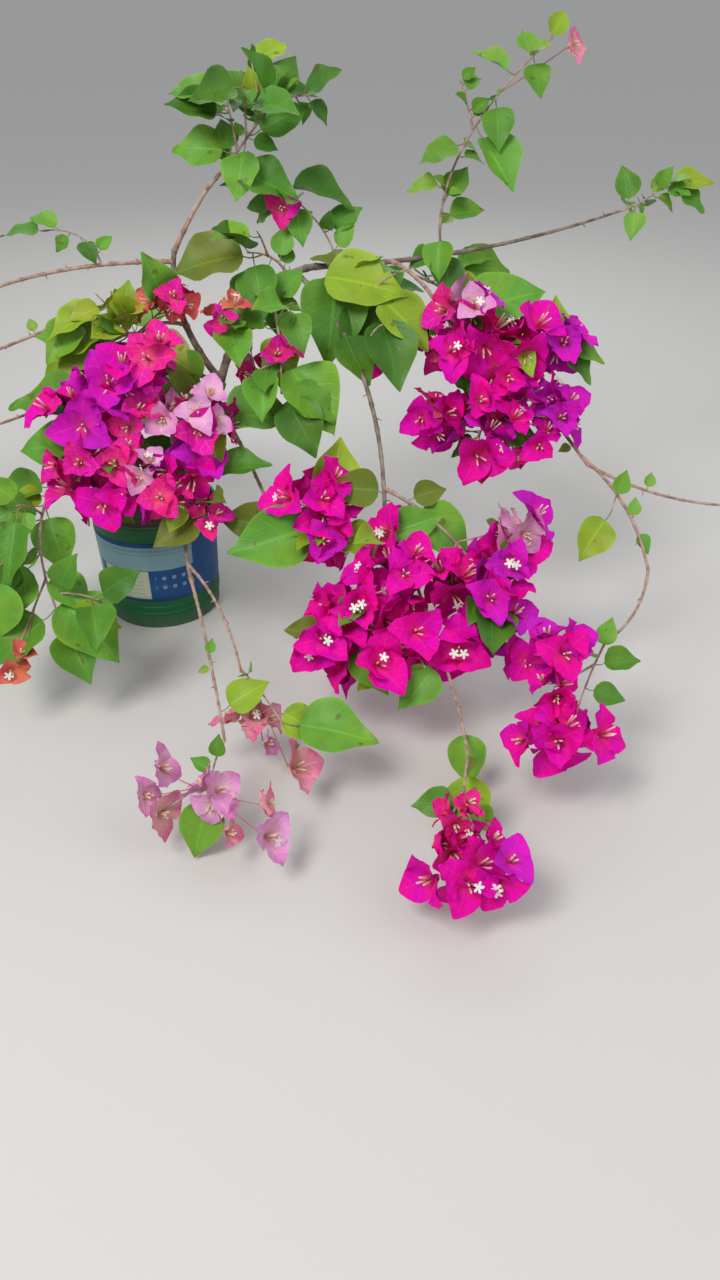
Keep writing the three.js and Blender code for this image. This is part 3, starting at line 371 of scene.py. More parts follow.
class Bow:
    """A bowed line from foot to tip."""

    SAMPLES = 12

    def __init__(self, foot, tip, bow=(0, 0, 0)):
        self.foot, self.tip = np.asarray(foot, float), np.asarray(tip, float)
        self.bow = np.asarray(bow, float)

    def point(self, t):
        return self.foot + (self.tip - self.foot) * t + self.bow * 4 * t * (1 - t)

    def heading(self, t):
        return unit(self.tip - self.foot + self.bow * 4 * (1 - 2 * t))

    def length(self):
        spots = np.array([self.point(k / self.SAMPLES) for k in range(self.SAMPLES + 1)])
        return float(np.linalg.norm(np.diff(spots, axis=0), axis=1).sum())


def any_across(heading):
    """A direction square to a heading, level unless the heading is steep."""
    steep = abs(heading[2]) >= 0.9
    helper = (1, 0, 0) if steep else (0, 0, 1)
    return unit(np.cross(helper, heading))


def sideways(bow, t, angle):
    """A direction square to a twig, at an angle round it."""
    heading = bow.heading(t)
    a = any_across(heading)
    return a * math.cos(angle) + np.cross(heading, a) * math.sin(angle)


def spread(k, count):
    """One of count directions spread evenly all round."""
    z = 1 - 2 * (k + 0.5) / count
    r = math.sqrt(1 - z * z)
    return np.array([r * math.cos(k * GOLDEN), r * math.sin(k * GOLDEN), z])


def to_light(axis):
    """The direction square to an axis that looks most towards the light."""
    return unit(LIGHT - axis * LIGHT.dot(axis))


def photo_axis(heading):
    """The way of a leaf that points at a heading in the photograph, a little towards the camera."""
    angle = math.radians(heading)
    return unit(np.array([math.cos(angle), -SHOWN_LEAF_LEAN, 0]) + IMAGE_UP * math.sin(angle))


def head_middle(stem, at, shift):
    """A head's middle: beside its stem, to the right, up and towards the camera."""
    right, up, towards = shift
    return stem.point(at) + np.array([right, 0, 0]) + IMAGE_UP * up + TOWARDS * towards


def lay_out_limbs():
    bows = {}
    for name, (grows, at, tip, bow, _) in LIMBS.items():
        bows[name] = Bow(bows[grows].point(at) if grows else TRUNK_FOOT, tip, bow)
    return bows


def limb_radius(name, t):
    foot, tip = LIMBS[name][4]
    return foot + (tip - foot) * t


# Every limb and stem, and points along them to keep clear of
LIMB_SAMPLES = 40
STEM_SAMPLES = 12
BOWS = lay_out_limbs()
STEMS = {name: Bow(BOWS[m["from"]].point(m["at"]), m["tip"], m["bow"]) for name, m in MASSES.items()}
LIMB_PLACES = [(name, i / LIMB_SAMPLES) for name in LIMBS for i in range(LIMB_SAMPLES + 1)]
LIMB_SPOTS = np.array([BOWS[name].point(t) for name, t in LIMB_PLACES])
LIMB_RADII = np.array([limb_radius(name, t) for name, t in LIMB_PLACES])
STEM_SPOTS = {name: np.array([stem.point((i + 1) / STEM_SAMPLES) for i in range(STEM_SAMPLES)])
              for name, stem in STEMS.items()}
OTHER_SPOTS = {name: np.concatenate([spots for other, spots in STEM_SPOTS.items() if other != name])
               for name in STEMS}


def gaps_to(spots, cloud):
    """How far each spot is from the nearest point of a cloud."""
    return np.sqrt(((spots[:, None] - cloud[None]) ** 2).sum(2)).min(1)


def fits(name, spots, clear=LIMB_CLEARANCE, neighbour=NEIGHBOUR_MARGIN):
    """Whether spots are in a mass's own space and clear of the limbs, the pail and the floor."""
    spots = np.atleast_2d(spots)
    own = gaps_to(spots, STEM_SPOTS[name])
    reach = MASSES[name]["reach"] + (LARGEST_LEAF_OUT if neighbour == SHOWN_LEAF_MARGIN else 0)
    if (own > reach).any() or (spots[:, 2] < FLOOR_CLEARANCE).any():
        return False
    if (gaps_to(spots, OTHER_SPOTS[name]) < own + neighbour * 2).any():
        return False
    from_axis = np.hypot(spots[:, 0], spots[:, 1])
    low = spots[:, 2] < POT_HEIGHT + POT_CLEARANCE
    if (low & (from_axis < POT_RIM_RADIUS + POT_CLEARANCE)).any():
        return False
    to_limbs = np.sqrt(((spots[:, None] - LIMB_SPOTS[None]) ** 2).sum(2)) - LIMB_RADII
    return bool((to_limbs > clear).all())


class Sheaf:
    """Gathers many small shapes, with tints and a map of each, into one joined mesh."""

    def __init__(self, name):
        self.name = name
        self.spots, self.faces, self.tints, self.maps = [], [], [], []
        self.count = 0

    def add(self, spots, faces, tint, uv=None):
        self.spots.append(np.asarray(spots, float) * MM)
        self.maps.append(np.zeros((len(spots), 2)) if uv is None else np.asarray(uv, float))
        self.faces.extend(tuple(v + self.count for v in face) for face in faces)
        self.tints.extend([tint] * len(faces))
        self.count += len(spots)

    def make(self, materials):
        mesh = bpy.data.meshes.new(self.name)
        mesh.from_pydata(np.concatenate(self.spots).tolist(), [], self.faces)
        mesh.polygons.foreach_set("material_index", self.tints)
        mesh.polygons.foreach_set("use_smooth", [True] * len(self.faces))
        layer = mesh.uv_layers.new(name="blade")
        corner = np.empty(len(mesh.loops), np.int64)
        mesh.loops.foreach_get("vertex_index", corner)
        layer.data.foreach_set("uv", np.concatenate(self.maps)[corner].ravel())
        for material in materials:
            mesh.materials.append(material)
        mesh.update()
        piece = bpy.data.objects.new(self.name, mesh)
        bpy.context.scene.collection.objects.link(piece)
        return piece


# Tubes: limbs, twigs and stalks
TUBE_END = 0.4
STALK_SIDES = 4
STALK_RINGS = 3


def add_tube(sheaf, bow, radius_at, sides, rings, tint=0, relief=None):
    """A tube along a bow, closed at both ends; relief(spot, angle, along) scales its radius."""
    across = any_across(bow.heading(0))
    size = bow.length()
    turns = np.arange(sides) * 2 * math.pi / sides
    spots, uv = [bow.point(0)], [(0, 0)]
    for i in range(rings + 1):
        t = i / rings
        heading = bow.heading(t)
        across = unit(across - heading * across.dot(heading))
        beside = np.cross(across, heading)
        centre = bow.point(t)
        for angle in turns:
            out = across * math.sin(angle) + beside * math.cos(angle)
            radius = radius_at(t, angle)
            if relief:
                radius *= relief(centre + out * radius, angle, t * size)
            spots.append(centre + out * radius)
            uv.append((angle / math.pi - 1, t))
    spots.append(bow.point(1) + bow.heading(1) * radius_at(1, 0) * TUBE_END)
    uv.append((0, 1))
    faces = []
    last = len(spots) - 1
    for k in range(sides):
        n = (k + 1) % sides
        faces.append((0, 1 + n, 1 + k))
        faces.append((last, last - sides + k, last - sides + n))
        for i in range(rings):
            a, b = 1 + i * sides, 1 + (i + 1) * sides
            faces.append((a + k, a + n, b + n, b + k))
    sheaf.add(spots, faces, tint, uv)


def stalk(sheaf, foot, tip, sag, radius, tint):
    """A leaf's or a bloom's stalk, a little thinner at its tip."""
    add_tube(sheaf, Bow(foot, tip, sag), lambda t, angle: radius * (1.15 - 0.3 * t),
             STALK_SIDES, STALK_RINGS, tint)


# Bark: swollen nodes at an even step, and thorns beside them
NODE_STEP = 34.0
NODE_WIDTH = 2.6
NODE_SWELL = 0.2
COLLAR_SWELL = 0.35
COLLAR_LENGTH = 7
RIB = 0.05
RIDGE_DEPTH = 0.07
CRACK_DEPTH = 0.05
SCAR_DEPTH = 0.08
OLD_WOOD_RADIUS = 3.2
CANE_RING_STEP = 2.6
THORN_SHARE = 0.7
THORN_LENGTHS = (5, 4)
THORN_FORWARD = 2.5


def ring_noise(angle, ripple, along):
    return noise.noise(Vector((math.cos(angle) * ripple, math.sin(angle) * ripple, along)))


def cane_relief(seed):
    """Swollen nodes at an even step, with fine ribs and lenticels between them."""
    def relief(spot, angle, along):
        into = (along + seed * 7.3) % NODE_STEP - NODE_STEP / 2
        swell = NODE_SWELL * math.exp(-(into / NODE_WIDTH) ** 2)
        collar = COLLAR_SWELL * math.exp(-along / COLLAR_LENGTH)
        rib = RIB * ring_noise(angle, 2.2, along * 0.03 + seed)
        speck = RIB * noise.noise(Vector(tuple(spot * 0.55)))
        return 1 + swell + collar + rib + speck
    return relief


def trunk_relief(spot, angle, along):
    """Long ridges and furrows that wander up the trunk, broken by short cracks and old scars."""
    ridge = 1 - abs(ring_noise(angle, 2.6, along * 0.028)) * 2
    crack = ring_noise(angle, 7, along * 0.07)
    scar = noise.noise(Vector(tuple(spot * 0.09)))
    return 1 + RIDGE_DEPTH * ridge + CRACK_DEPTH * crack + SCAR_DEPTH * scar


def grow_trunk(sheaf):
    """The trunk, rooted in the soil, with a foot that flares to three sides."""
    _, _, tip, bow, _ = LIMBS["trunk"]
    lean = unit(np.array(tip) - TRUNK_FOOT)

    def radius_at(t, angle):
        flare = math.exp(-t * FLARE_FADE) * (1 + 0.35 * math.sin(3 * angle))
        return limb_radius("trunk", t) + FLARE_RADIUS * flare
    add_tube(sheaf, Bow(TRUNK_FOOT - lean * TRUNK_ROOT, tip, bow), radius_at, 40, 110, 0, trunk_relief)


def grow_canes(sheaf, dice):
    """Every limb above the trunk, with nodes, collars and the odd thorn."""
    for number, name in enumerate(LIMBS):
        if name == "trunk":
            continue
        bow = BOWS[name]
        length = bow.length()
        tint = 0 if LIMBS[name][4][0] > OLD_WOOD_RADIUS else 1
        rings = max(20, int(length / CANE_RING_STEP))
        add_tube(sheaf, bow, lambda t, angle: limb_radius(name, t), 12, rings, tint, cane_relief(number))
        for k in range(1, int(length / NODE_STEP)):
            t = (k + 0.35) * NODE_STEP / length
            if t > 0.96 or dice.next() > THORN_SHARE:
                continue
            out = sideways(bow, t, k * GOLDEN + number)
            foot = bow.point(t) + out * limb_radius(name, t) * 0.7
            tip = foot + out * dice.about(*THORN_LENGTHS) + bow.heading(t) * THORN_FORWARD
            add_tube(sheaf, Bow(foot, tip, -bow.heading(t) * 0.8),
                     lambda s, angle: 1.0 * (1 - s) ** 0.7 + 0.06, 5, 3, tint)


# Blades: an ovate leaf with a drawn-out tip and a rounder bract, in shares of their length.
# Each shape is a fold, a droop, a wave at the edge, a sway and a twist, drawn from these spans.
LEAF_WIDTH = 0.37
BRACT_WIDTH = 0.47
LARGE_LEAF_SIZE = 52.0
FOLD_START = 0.6
FOLD_RISE = 1.2
BEND = 0.35
WAVES = 2.1
LEAF_SHAPE = ((0.15, 0.65), (0.02, 0.28), (0.015, 0.045), (-0.07, 0.07), (-0.45, 0.45))
SINGLE_LEAF_SHAPE = ((0.2, 0.5), (0.05, 0.25), 0.02, (-0.06, 0.06), (-0.4, 0.4))
BRACT_SHAPE = ((0.1, 0.5), (0.08, 0.45), (0.05, 0.11), (-0.1, 0.1), (-0.5, 0.5))


def leaf_half_width(v):
    body = math.sin(math.pi * v ** 0.62) ** 0.82
    drawn = 1 - 0.42 * max(0.0, (v - 0.55) / 0.45) ** 1.2
    return LEAF_WIDTH * body * drawn


def bract_half_width(v):
    return BRACT_WIDTH * math.sin(math.pi * v ** 0.76) ** 0.56 * (1 - 0.3 * max(0.0, (v - 0.62) / 0.38))


def blade_grid(rows, columns, half_width, first):
    """A blade's flat outline: [along, across] with its map, and its faces."""
    spots, uv = [(0.0, 0.0)], [(0.0, 0.0)]
    for row in range(rows):
        v = first + (0.97 - first) * (row / (rows - 1)) ** 1.05
        for column in range(columns + 1):
            u = 2 * column / columns - 1
            spots.append((v, u * half_width(v)))
            uv.append((u, v))
    spots.append((1.0, 0.0))
    uv.append((0.0, 1.0))
    width = columns + 1
    last = len(spots) - 1
    faces = []
    for column in range(columns):
        faces.append((0, 2 + column, 1 + column))
        faces.append((last, last - width + column, last - width + column + 1))
        for row in range(rows - 1):
            a = 1 + row * width + column
            faces.append((a, a + 1, a + width + 1, a + width))
    return np.array(spots), np.array(uv), faces


SMALL_LEAF = blade_grid(9, 4, leaf_half_width, 0.035)
LARGE_LEAF = blade_grid(13, 6, leaf_half_width, 0.02)
BRACT = blade_grid(7, 4, bract_half_width, 0.05)

# Points over a leaf that no bloom may touch: shares of its length, along and across
GUARD_ROWS = 11
GUARD_STEP = 0.1
GUARD_EDGE = 0.02
LEAF_GUARD = [(row / GUARD_ROWS, column * GUARD_STEP)
              for row in range(GUARD_ROWS + 1) for column in range(-3, 4)
              if abs(column) * GUARD_STEP < leaf_half_width(row / GUARD_ROWS) + GUARD_EDGE]


def draw_shape(wild, spans):
    """A blade's own shape, and where its wave starts."""
    return [wild.uniform(*span) if isinstance(span, tuple) else span for span in spans] + [wild.random()]


def lay_blade(sheaf, grid, base, axis, normal, size, tint, shape):
    """Places a blade, folded along its midrib, drooping to its tip, twisted and wavy at its edge."""
    fold, droop, wave, sway, twist, phase = shape
    side = np.cross(axis, normal)
    flat, uv, faces = grid
    v, across = flat[:, 0], flat[:, 1]
    edge = np.abs(uv[:, 0])
    turn = twist * v
    folded = fold * np.abs(across) * (FOLD_START + FOLD_RISE * np.abs(across))
    waved = wave * edge ** 2 * np.sin(2 * math.pi * (WAVES * v + phase + 0.25 * np.sign(uv[:, 0])))
    rise = folded - droop * v ** 2 + across * np.sin(turn) + waved
    bend = 1 - BEND * droop * v ** 2
    over = across * np.cos(turn) + sway * v ** 2
    spots = base + size * (np.outer(v * bend, axis) + np.outer(over, side) + np.outer(rise, normal))
    sheaf.add(spots, faces, tint, uv)


def hang_leaf(sheaves, root, base, axis, normal, size, tint, shape, thickness):
    """A leaf's blade and its stalk."""
    grid = LARGE_LEAF if size > LARGE_LEAF_SIZE else SMALL_LEAF
    lay_blade(sheaves["leaves"], grid, base, axis, normal, size, tint, shape)
    stalk(sheaves["twigs"], root, base + axis * size * 0.02, -UP * size * 0.03, thickness, GREEN_STALK)


# Where things grow along a stem or a twig: from this share of it, over this much of it
TWIGS_FROM, TWIGS_OVER = 0.25, 0.7
LEAVES_FROM, LEAVES_OVER = 0.3, 0.68
BLOOMS_FROM, BLOOMS_OVER = 0.3, 0.68
FILL_FROM, FILL_OVER = 0.15, 0.8

# The least share of the full size, and how much more it may be
TWIG_LENGTHS = (0.45, 0.25)
LEAF_SIZES = (0.8, 0.35)
BLOOM_SIZES = (0.9, 0.2)
FILL_LEAF_SIZES = (0.42, 0.4)
FILL_BLOOM_SIZES = (0.72, 0.28)

# How far twigs and leaves turn along what bears them, how a leaf tilts, and how far a bloom turns
# to the light and leans at random
TWIG_FORWARD = 0.7
TWIG_LIFT = 0.2
LEAF_FORWARD = 0.6
LEAF_ROLL = 0.35
LEAF_PITCH = (-0.1, 0.25)
BLOOM_FACING = (0.5, 0.6)
FILL_FACING = (0.6, 0.7)

# A bloom: how far its bracts open, turn and lean, their sizes, how far behind its middle they
# meet, and how far its flowers lean out, their lengths and the radius of their tubes
BRACT_OPENING = (0.4, 1.0)
BRACT_TURN = 0.15
BRACT_LEAN = 10
BRACT_SIZES = (0.88, 1.1)
BRACT_FOOT_OUT = 1.2
HEART_BACK = 0.22
FLOWER_LEAN = 0.24
FLOWER_LENGTHS = (0.66, 0.84)
TUBE_RADIUS = 0.9
TUBE_SWELL = 0.75
BLOOM_STALK_RADIUS = 0.75
BLOOM_STALK_SAG = 2


class Plant:
    """What has grown in one mass so far: the room that is taken, the twigs and the sheaves."""

    def __init__(self, name, sheaves):
        self.name, self.plan = name, MASSES[name]
        self.sheaves = sheaves
        self.taken, self.blades, self.hearts = [], [], []
        self.stem = STEMS[name]
        self.twigs = [self.stem]
        self.dealt = 0
        self.wild = random.Random(self.plan["seed"])

    def green(self):
        """The next leaf's tint: mostly the mass's own greens, with a yellowed leaf here and there."""
        self.dealt += 1
        tints = self.plan["greens"]
        own = self.wild.random() < OWN_GREEN_SHARE
        return GREENS.index(tints[self.dealt % len(tints)] if own else self.wild.choice(GREENS[:4]))

    def pink(self, tints):
        return PINKS.index(self.wild.choice(tints))

    def twig(self, bow, seed, tested, thickness, taper, rings):
        """Grows a twig if the tested places on it have room."""
        if fits(self.name, np.array([bow.point(k) for k in tested]), TWIG_CLEARANCE):
            self.twigs.append(bow)
            add_tube(self.sheaves["twigs"], bow, lambda t, angle: thickness - taper * t, 6, rings, 1,
                     cane_relief(seed))

    def leaf(self, root, axis, size, room=LEAF_ROOM, neighbour=NEIGHBOUR_MARGIN, clear=LIMB_CLEARANCE,
             tint=None):
        """A leaf at the end of its stalk, where its midrib and its two widest rows have room."""
        base = root + axis * size * STALK
        normal = to_light(axis)
        side = np.cross(axis, normal)
        blade = [base + axis * size * k for k in (0, 0.2, 0.4, 0.6, 0.8, 1)]
        for k in (-0.3, 0.3):
            blade.append(base + axis * size * 0.28 + side * size * k)
            blade.append(base + axis * size * 0.6 + side * size * k * 0.7)
        blade = np.array(blade)
        half_stalk = root + axis * size * STALK * 0.5
        if not fits(self.name, blade, clear, neighbour):
            return False
        if not fits(self.name, half_stalk, LEAF_STALK_CLEARANCE, neighbour):
            return False
        if self.taken and gaps_to(blade, np.array(self.taken)).min() < room:
            return False
        self.taken.extend(blade)
        wild = self.wild
        tint = self.green() if tint is None else tint
        tilt = unit(normal + side * wild.uniform(-LEAF_ROLL, LEAF_ROLL) + axis * wild.uniform(*LEAF_PITCH))
        turned = unit(tilt - axis * tilt.dot(axis))
        for along, across in LEAF_GUARD:
            self.blades.append(base + axis * size * along + side * size * across)
        shape = draw_shape(wild, LEAF_SHAPE)
        hang_leaf(self.sheaves, root, base, axis, turned, size, tint, shape, 0.55 + size * 0.004)
        return True

    def try_leaf(self, twig, t, turn, size, turn_step, droop, *rooms):
        """Turns a leaf round its twig until it has room."""
        for attempt in range(LEAF_TRIES):
            out = sideways(twig, t, turn + attempt * turn_step)
            axis = unit(out + twig.heading(t) * LEAF_FORWARD - UP * droop)
            if self.leaf(twig.point(t), axis, size, *rooms):
                break

    def bloom(self, share, centre, facing, turn, size, pinks, room=BLOOM_ROOM, neighbour=NEIGHBOUR_MARGIN,
              leaf_room=LEAF_ROOM, clear=LIMB_CLEARANCE):
        """A bloom on the nearest twig, where its rim and its front have room."""
        radius = BLOOM_RADIUS * size
        across = any_across(facing)
        beside = np.cross(across, facing)
        rim = [centre]
        for k in range(6):
            angle = turn + k * math.pi / 3
            reach = 0.5 if k % 2 else 1
            out = across * math.sin(angle) + beside * math.cos(angle)
            rim.append(centre + out * radius * reach + facing * radius * TIP_RISE * reach)
        rim = np.array(rim)
        roots = [bow.point(BLOOMS_FROM + BLOOMS_OVER * share) for bow in self.twigs]
        root = min(roots, key=lambda spot: np.linalg.norm(spot - centre))
        half_stalk = (root + centre) / 2
        if not fits(self.name, rim, clear, neighbour):
            return
        if not fits(self.name, half_stalk, BLOOM_STALK_CLEARANCE, neighbour):
            return
        if self.hearts and gaps_to(rim[:1], np.array(self.hearts)).min() < radius * room:
            return
        front = np.vstack([rim, [centre + facing * radius * k for k in (0.4, 0.8)]])
        if self.blades and gaps_to(front, np.array(self.blades)).min() < leaf_room:
            return
        self.hearts.append(centre)
        self.dress_bloom(root, centre, facing, turn, radius, self.pink(pinks.split()))

    def dress_bloom(self, root, centre, facing, turn, radius, tint):
        """Three papery bracts round their flowers, on a thin stalk."""
        wild = self.wild
        across = any_across(facing)
        beside = np.cross(across, facing)
        back = centre - facing * radius * HEART_BACK
        stalk(self.sheaves["twigs"], root, back, -UP * BLOOM_STALK_SAG, BLOOM_STALK_RADIUS, PINK_STALK)
        opened = wild.uniform(*BRACT_OPENING)
        for k in range(3):
            angle = turn + k * 2 * math.pi / 3 + wild.uniform(-BRACT_TURN, BRACT_TURN)
            out = across * math.sin(angle) + beside * math.cos(angle)
            lean = math.radians(SHUT_LEAN + OPEN_LEAN * opened + wild.uniform(-BRACT_LEAN, BRACT_LEAN))
            axis = facing * math.cos(lean) + out * math.sin(lean)
            normal = facing * math.sin(lean) - out * math.cos(lean)
            size = radius * BRACT_LENGTH * wild.uniform(*BRACT_SIZES)
            shape = draw_shape(wild, BRACT_SHAPE)
            foot = back + out * BRACT_FOOT_OUT
            lay_blade(self.sheaves["bracts"], BRACT, foot, axis, normal, size, tint, shape)
            way = unit(facing + out * FLOWER_LEAN)
            self.flower(back, way, radius * wild.uniform(*FLOWER_LENGTHS), PINKS[tint])

    def flower(self, foot, way, size, tint):
        """A slim angular tube; among the hottest pinks one in eight has opened its white star."""
        wild = self.wild
        tip = foot + way * size
        sheaf = self.sheaves["flowers"]
        colour = PALE_TUBE if tint in ("pale", "salmon", "blush") else PINK_TUBE
        add_tube(sheaf, Bow(foot, tip, np.cross(way, UP) * wild.uniform(-1, 1)),
                 lambda t, angle: TUBE_RADIUS + TUBE_SWELL * math.sin(math.pi * min(1, t * 1.05)) ** 2,
                 5, 5, colour)
        if wild.random() > (HOT_STARS if tint == "hot" else OTHER_STARS):
            return
        a = any_across(way)
        b = np.cross(way, a)
        count = STAR_LOBES * len(LOBE_REACH)
        star = [tip + way * 0.6]
        for k in range(count):
            angle = k * math.pi / (STAR_LOBES * 2)
            reach = LOBE_REACH[k % len(LOBE_REACH)]
            out = a * math.sin(angle) + b * math.cos(angle)
            star.append(tip + out * reach + way * (0.4 + 0.1 * reach))
        sheaf.add(star, [(0, 1 + (k + 1) % count, 1 + k) for k in range(count)], STAR)


def grow_mass(name, sheaves):
    """One mass: a stem, twigs round it by the golden angle, then leaves and heads of blossom."""
    plant = Plant(name, sheaves)
    plan, stem, twigs = plant.plan, plant.stem, plant.twigs
    seed, reach, radius = plan["seed"], plan["reach"], plan["radius"]
    dice = Dice(seed)
    rings = max(14, int(stem.length() / STEM_RING_STEP))
    add_tube(sheaves["twigs"], stem, lambda t, angle: radius * (1 - STEM_TAPER * t), 8, rings, 0,
             cane_relief(seed))
    for i in range(plan["twigs"]):
        t = TWIGS_FROM + TWIGS_OVER * (i + 0.5) / plan["twigs"]
        out = sideways(stem, t, i * GOLDEN + dice.next() * 2)
        heading = unit(out + stem.heading(t) * TWIG_FORWARD + UP * TWIG_LIFT)
        foot = stem.point(t)
        tip = foot + heading * reach * dice.about(*TWIG_LENGTHS)
        plant.twig(Bow(foot, tip, UP * reach * 0.04), seed + i, *TWIG)
    spokes = []
    leafy = [extra for leaf in plan["show"] for extra in leaf[3:] if isinstance(extra, int)]
    for head, (at, shift, blooms, *_) in enumerate(plan["heads"]):
        spokes.append(Bow(stem.point(max(0.1, at - SPOKE_BACK)), head_middle(stem, at, shift)))
        if blooms > 1 or head in leafy:
            plant.twig(spokes[-1], seed, *SPOKE)
    for t, heading, size, *extras in plan["show"]:
        head = [extra for extra in extras if isinstance(extra, int)]
        tint = [GREENS.index(extra) for extra in extras if isinstance(extra, str)]
        bow = spokes[head[0]] if head else stem
        if bow in twigs:
            plant.leaf(bow.point(t), photo_axis(heading), size, *SHOWN_LEAF_ROOMS, *tint)
    for i in range(plan["leaves"]):
        row, rows = i // len(twigs), math.ceil(plan["leaves"] / len(twigs))
        t = LEAVES_FROM + LEAVES_OVER * (row + 0.9) / rows
        turn = i * GOLDEN + dice.next()
        size = plan["leaf"] * dice.about(*LEAF_SIZES)
        plant.try_leaf(twigs[i % len(twigs)], t, turn, size, *LEAF_TURNS)
    for at, shift, blooms, size, pinks in plan["heads"]:
        middle = head_middle(stem, at, shift)
        for k in range(blooms):
            way = spread(k, blooms)
            facing = dice.facing(way, *BLOOM_FACING)
            turn = dice.next() * 2
            centre = middle + way * HEAD_STEP * (blooms - 1)
            own_size = size * dice.about(*BLOOM_SIZES)
            plant.bloom((k * GOLDEN_SHARE) % 1, centre, facing, turn, own_size, pinks)
    fill_mass(plant, dice)


def fill_mass(plant, dice):
    """The finer growth: blooms between the first ones, and smaller leaves along the twigs."""
    plan = plant.plan
    for at, shift, blooms, size, pinks in plan["heads"]:
        middle = head_middle(plant.stem, at, shift)
        tries = (blooms - 1) * 4
        for k in range(tries):
            way = spread(k, tries)
            centre = middle + way * HEAD_STEP * blooms * FILL_REACH[k % len(FILL_REACH)]
            facing = dice.facing(way, *FILL_FACING)
            turn = dice.next() * 2
            own_size = size * dice.about(*FILL_BLOOM_SIZES)
            plant.bloom((k * GOLDEN_SHARE) % 1, centre, facing, turn, own_size, pinks, *FILL_BLOOM_ROOMS)
    count = int((4 + plan["leaves"] + len(plan["show"])) * plan["more"])
    for i in range(count):
        t = FILL_FROM + FILL_OVER * ((i * GOLDEN_SHARE) % 1)
        size = plan["leaf"] * dice.about(*FILL_LEAF_SIZES)
        turn = i * GOLDEN + dice.next() * 3
        plant.try_leaf(plant.twigs[i % len(plant.twigs)], t, turn, size, *FILL_LEAF_TURNS, *FILL_LEAF_ROOMS)


def grow_single_leaves(sheaves):
    """The single leaves that the photograph shows on bare canes and low on the sprays."""
    wild = random.Random(31)
    for bearer, along, heading, size, tint, *lift in SINGLE_LEAVES:
        root = (BOWS if bearer in BOWS else STEMS)[bearer].point(along)
        axis = photo_axis(heading)
        base = root + axis * size * STALK + TOWARDS * sum(lift)
        normal = to_light(axis)
        shape = draw_shape(wild, SINGLE_LEAF_SHAPE)
        hang_leaf(sheaves, root, base, axis, normal, size, GREENS.index(tint), shape, 0.4 + size * 0.005)


# Materials: shader sums are written as Python expressions
class Wire:
    """A node's output, with sums that add the nodes they need."""

    def __init__(self, finish, socket):
        self.finish, self.socket = finish, socket

    def sum(self, operation, *others):
        values = dict(enumerate((self, *others)))
        return self.finish.node("ShaderNodeMath", {"operation": operation}, values)

    def __add__(self, other):
        return self.sum("ADD", other)

    def __mul__(self, other):
        return self.sum("MULTIPLY", other)

    def __sub__(self, other):
        return self.sum("SUBTRACT", other)

    def __rsub__(self, other):
        return self.finish.node("ShaderNodeMath", {"operation": "SUBTRACT"}, {0: other, 1: self})

    def __truediv__(self, other):
        return self.sum("DIVIDE", other)

    def __gt__(self, other):
        return self.sum("GREATER_THAN", other)

    def __lt__(self, other):
        return self.sum("LESS_THAN", other)

    def __abs__(self):
        return self.sum("ABSOLUTE")

    __radd__ = __add__
    __rmul__ = __mul__


class Finish:
    """One material and the nodes behind its Principled shader."""

    def __init__(self, name, roughness, **constants):
        self.material = bpy.data.materials.new(name)
        self.material.use_nodes = True
        self.tree = self.material.node_tree
        self.shader = self.tree.nodes["Principled BSDF"]
        self.shader.inputs["Roughness"].default_value = roughness
        for socket, value in constants.items():
            self.shader.inputs[socket.replace("_", " ")].default_value = value

    def node(self, kind, settings, values, output=0):
        """Adds a node: its settings first, then the values or links of its sockets."""
        made = self.tree.nodes.new(kind)
        for key, value in settings.items():
            setattr(made, key, value)
        for key, value in values.items():
            if isinstance(value, Wire):
                self.tree.links.new(value.socket, made.inputs[key])
            else:
                made.inputs[key].default_value = value
        return Wire(self, made.outputs[output])

    def place(self):
        return self.node("ShaderNodeTexCoord", {}, {}, "Object")

    def blade(self):
        """The blade's own map: across from -1 to 1, along from 0 to 1."""
        split = self.node("ShaderNodeUVMap", {"uv_map": "blade"}, {})
        apart = self.node("ShaderNodeSeparateXYZ", {}, {0: split})
        return apart, Wire(self, apart.socket.node.outputs[1])

    def noise(self, scale, detail=3.0, stretch=None):
        place = self.place()
        if stretch:
            place = self.node("ShaderNodeMapping", {}, {"Vector": place, "Scale": stretch})
        return self.node("ShaderNodeTexNoise", {}, {"Vector": place, "Scale": scale, "Detail": detail})

    def mix(self, factor, a, b):
        colours = [value if isinstance(value, Wire) else (*value, 1) for value in (a, b)]
        return self.node("ShaderNodeMix", {"data_type": "RGBA"}, {0: factor, 6: colours[0], 7: colours[1]}, 2)

    def colour(self, wire):
        self.tree.links.new(wire.socket, self.shader.inputs["Base Color"])

    def rough(self, wire):
        self.tree.links.new(wire.socket, self.shader.inputs["Roughness"])

    def bump(self, height, distance, strength=1.0):
        bumped = self.node("ShaderNodeBump", {},
                           {"Height": height, "Distance": distance, "Strength": strength})
        self.tree.links.new(bumped.socket, self.shader.inputs["Normal"])

    def step(self, low, high, wire):
        """0 below low, 1 above high, smooth between."""
        return self.node("ShaderNodeMapRange", {"interpolation_type": "SMOOTHSTEP"},
                         {"Value": wire, "From Min": low, "From Max": high})

    def side_veins(self, along, edge, count, sweep, wander, low, high):
        """Side veins that sweep back from the midrib and wander a little: 1 on a vein, 0 beside it."""
        slant = along * count - edge * sweep + wander
        ripple = abs(slant - self.node("ShaderNodeMath", {"operation": "ROUND"}, {0: slant}))
        return 1 - self.step(low, high, ripple)


def shade(colour, factor):
    return tuple(min(1.0, c * factor) for c in colour)


FLECK_BROWN = (0.110, 0.070, 0.020)


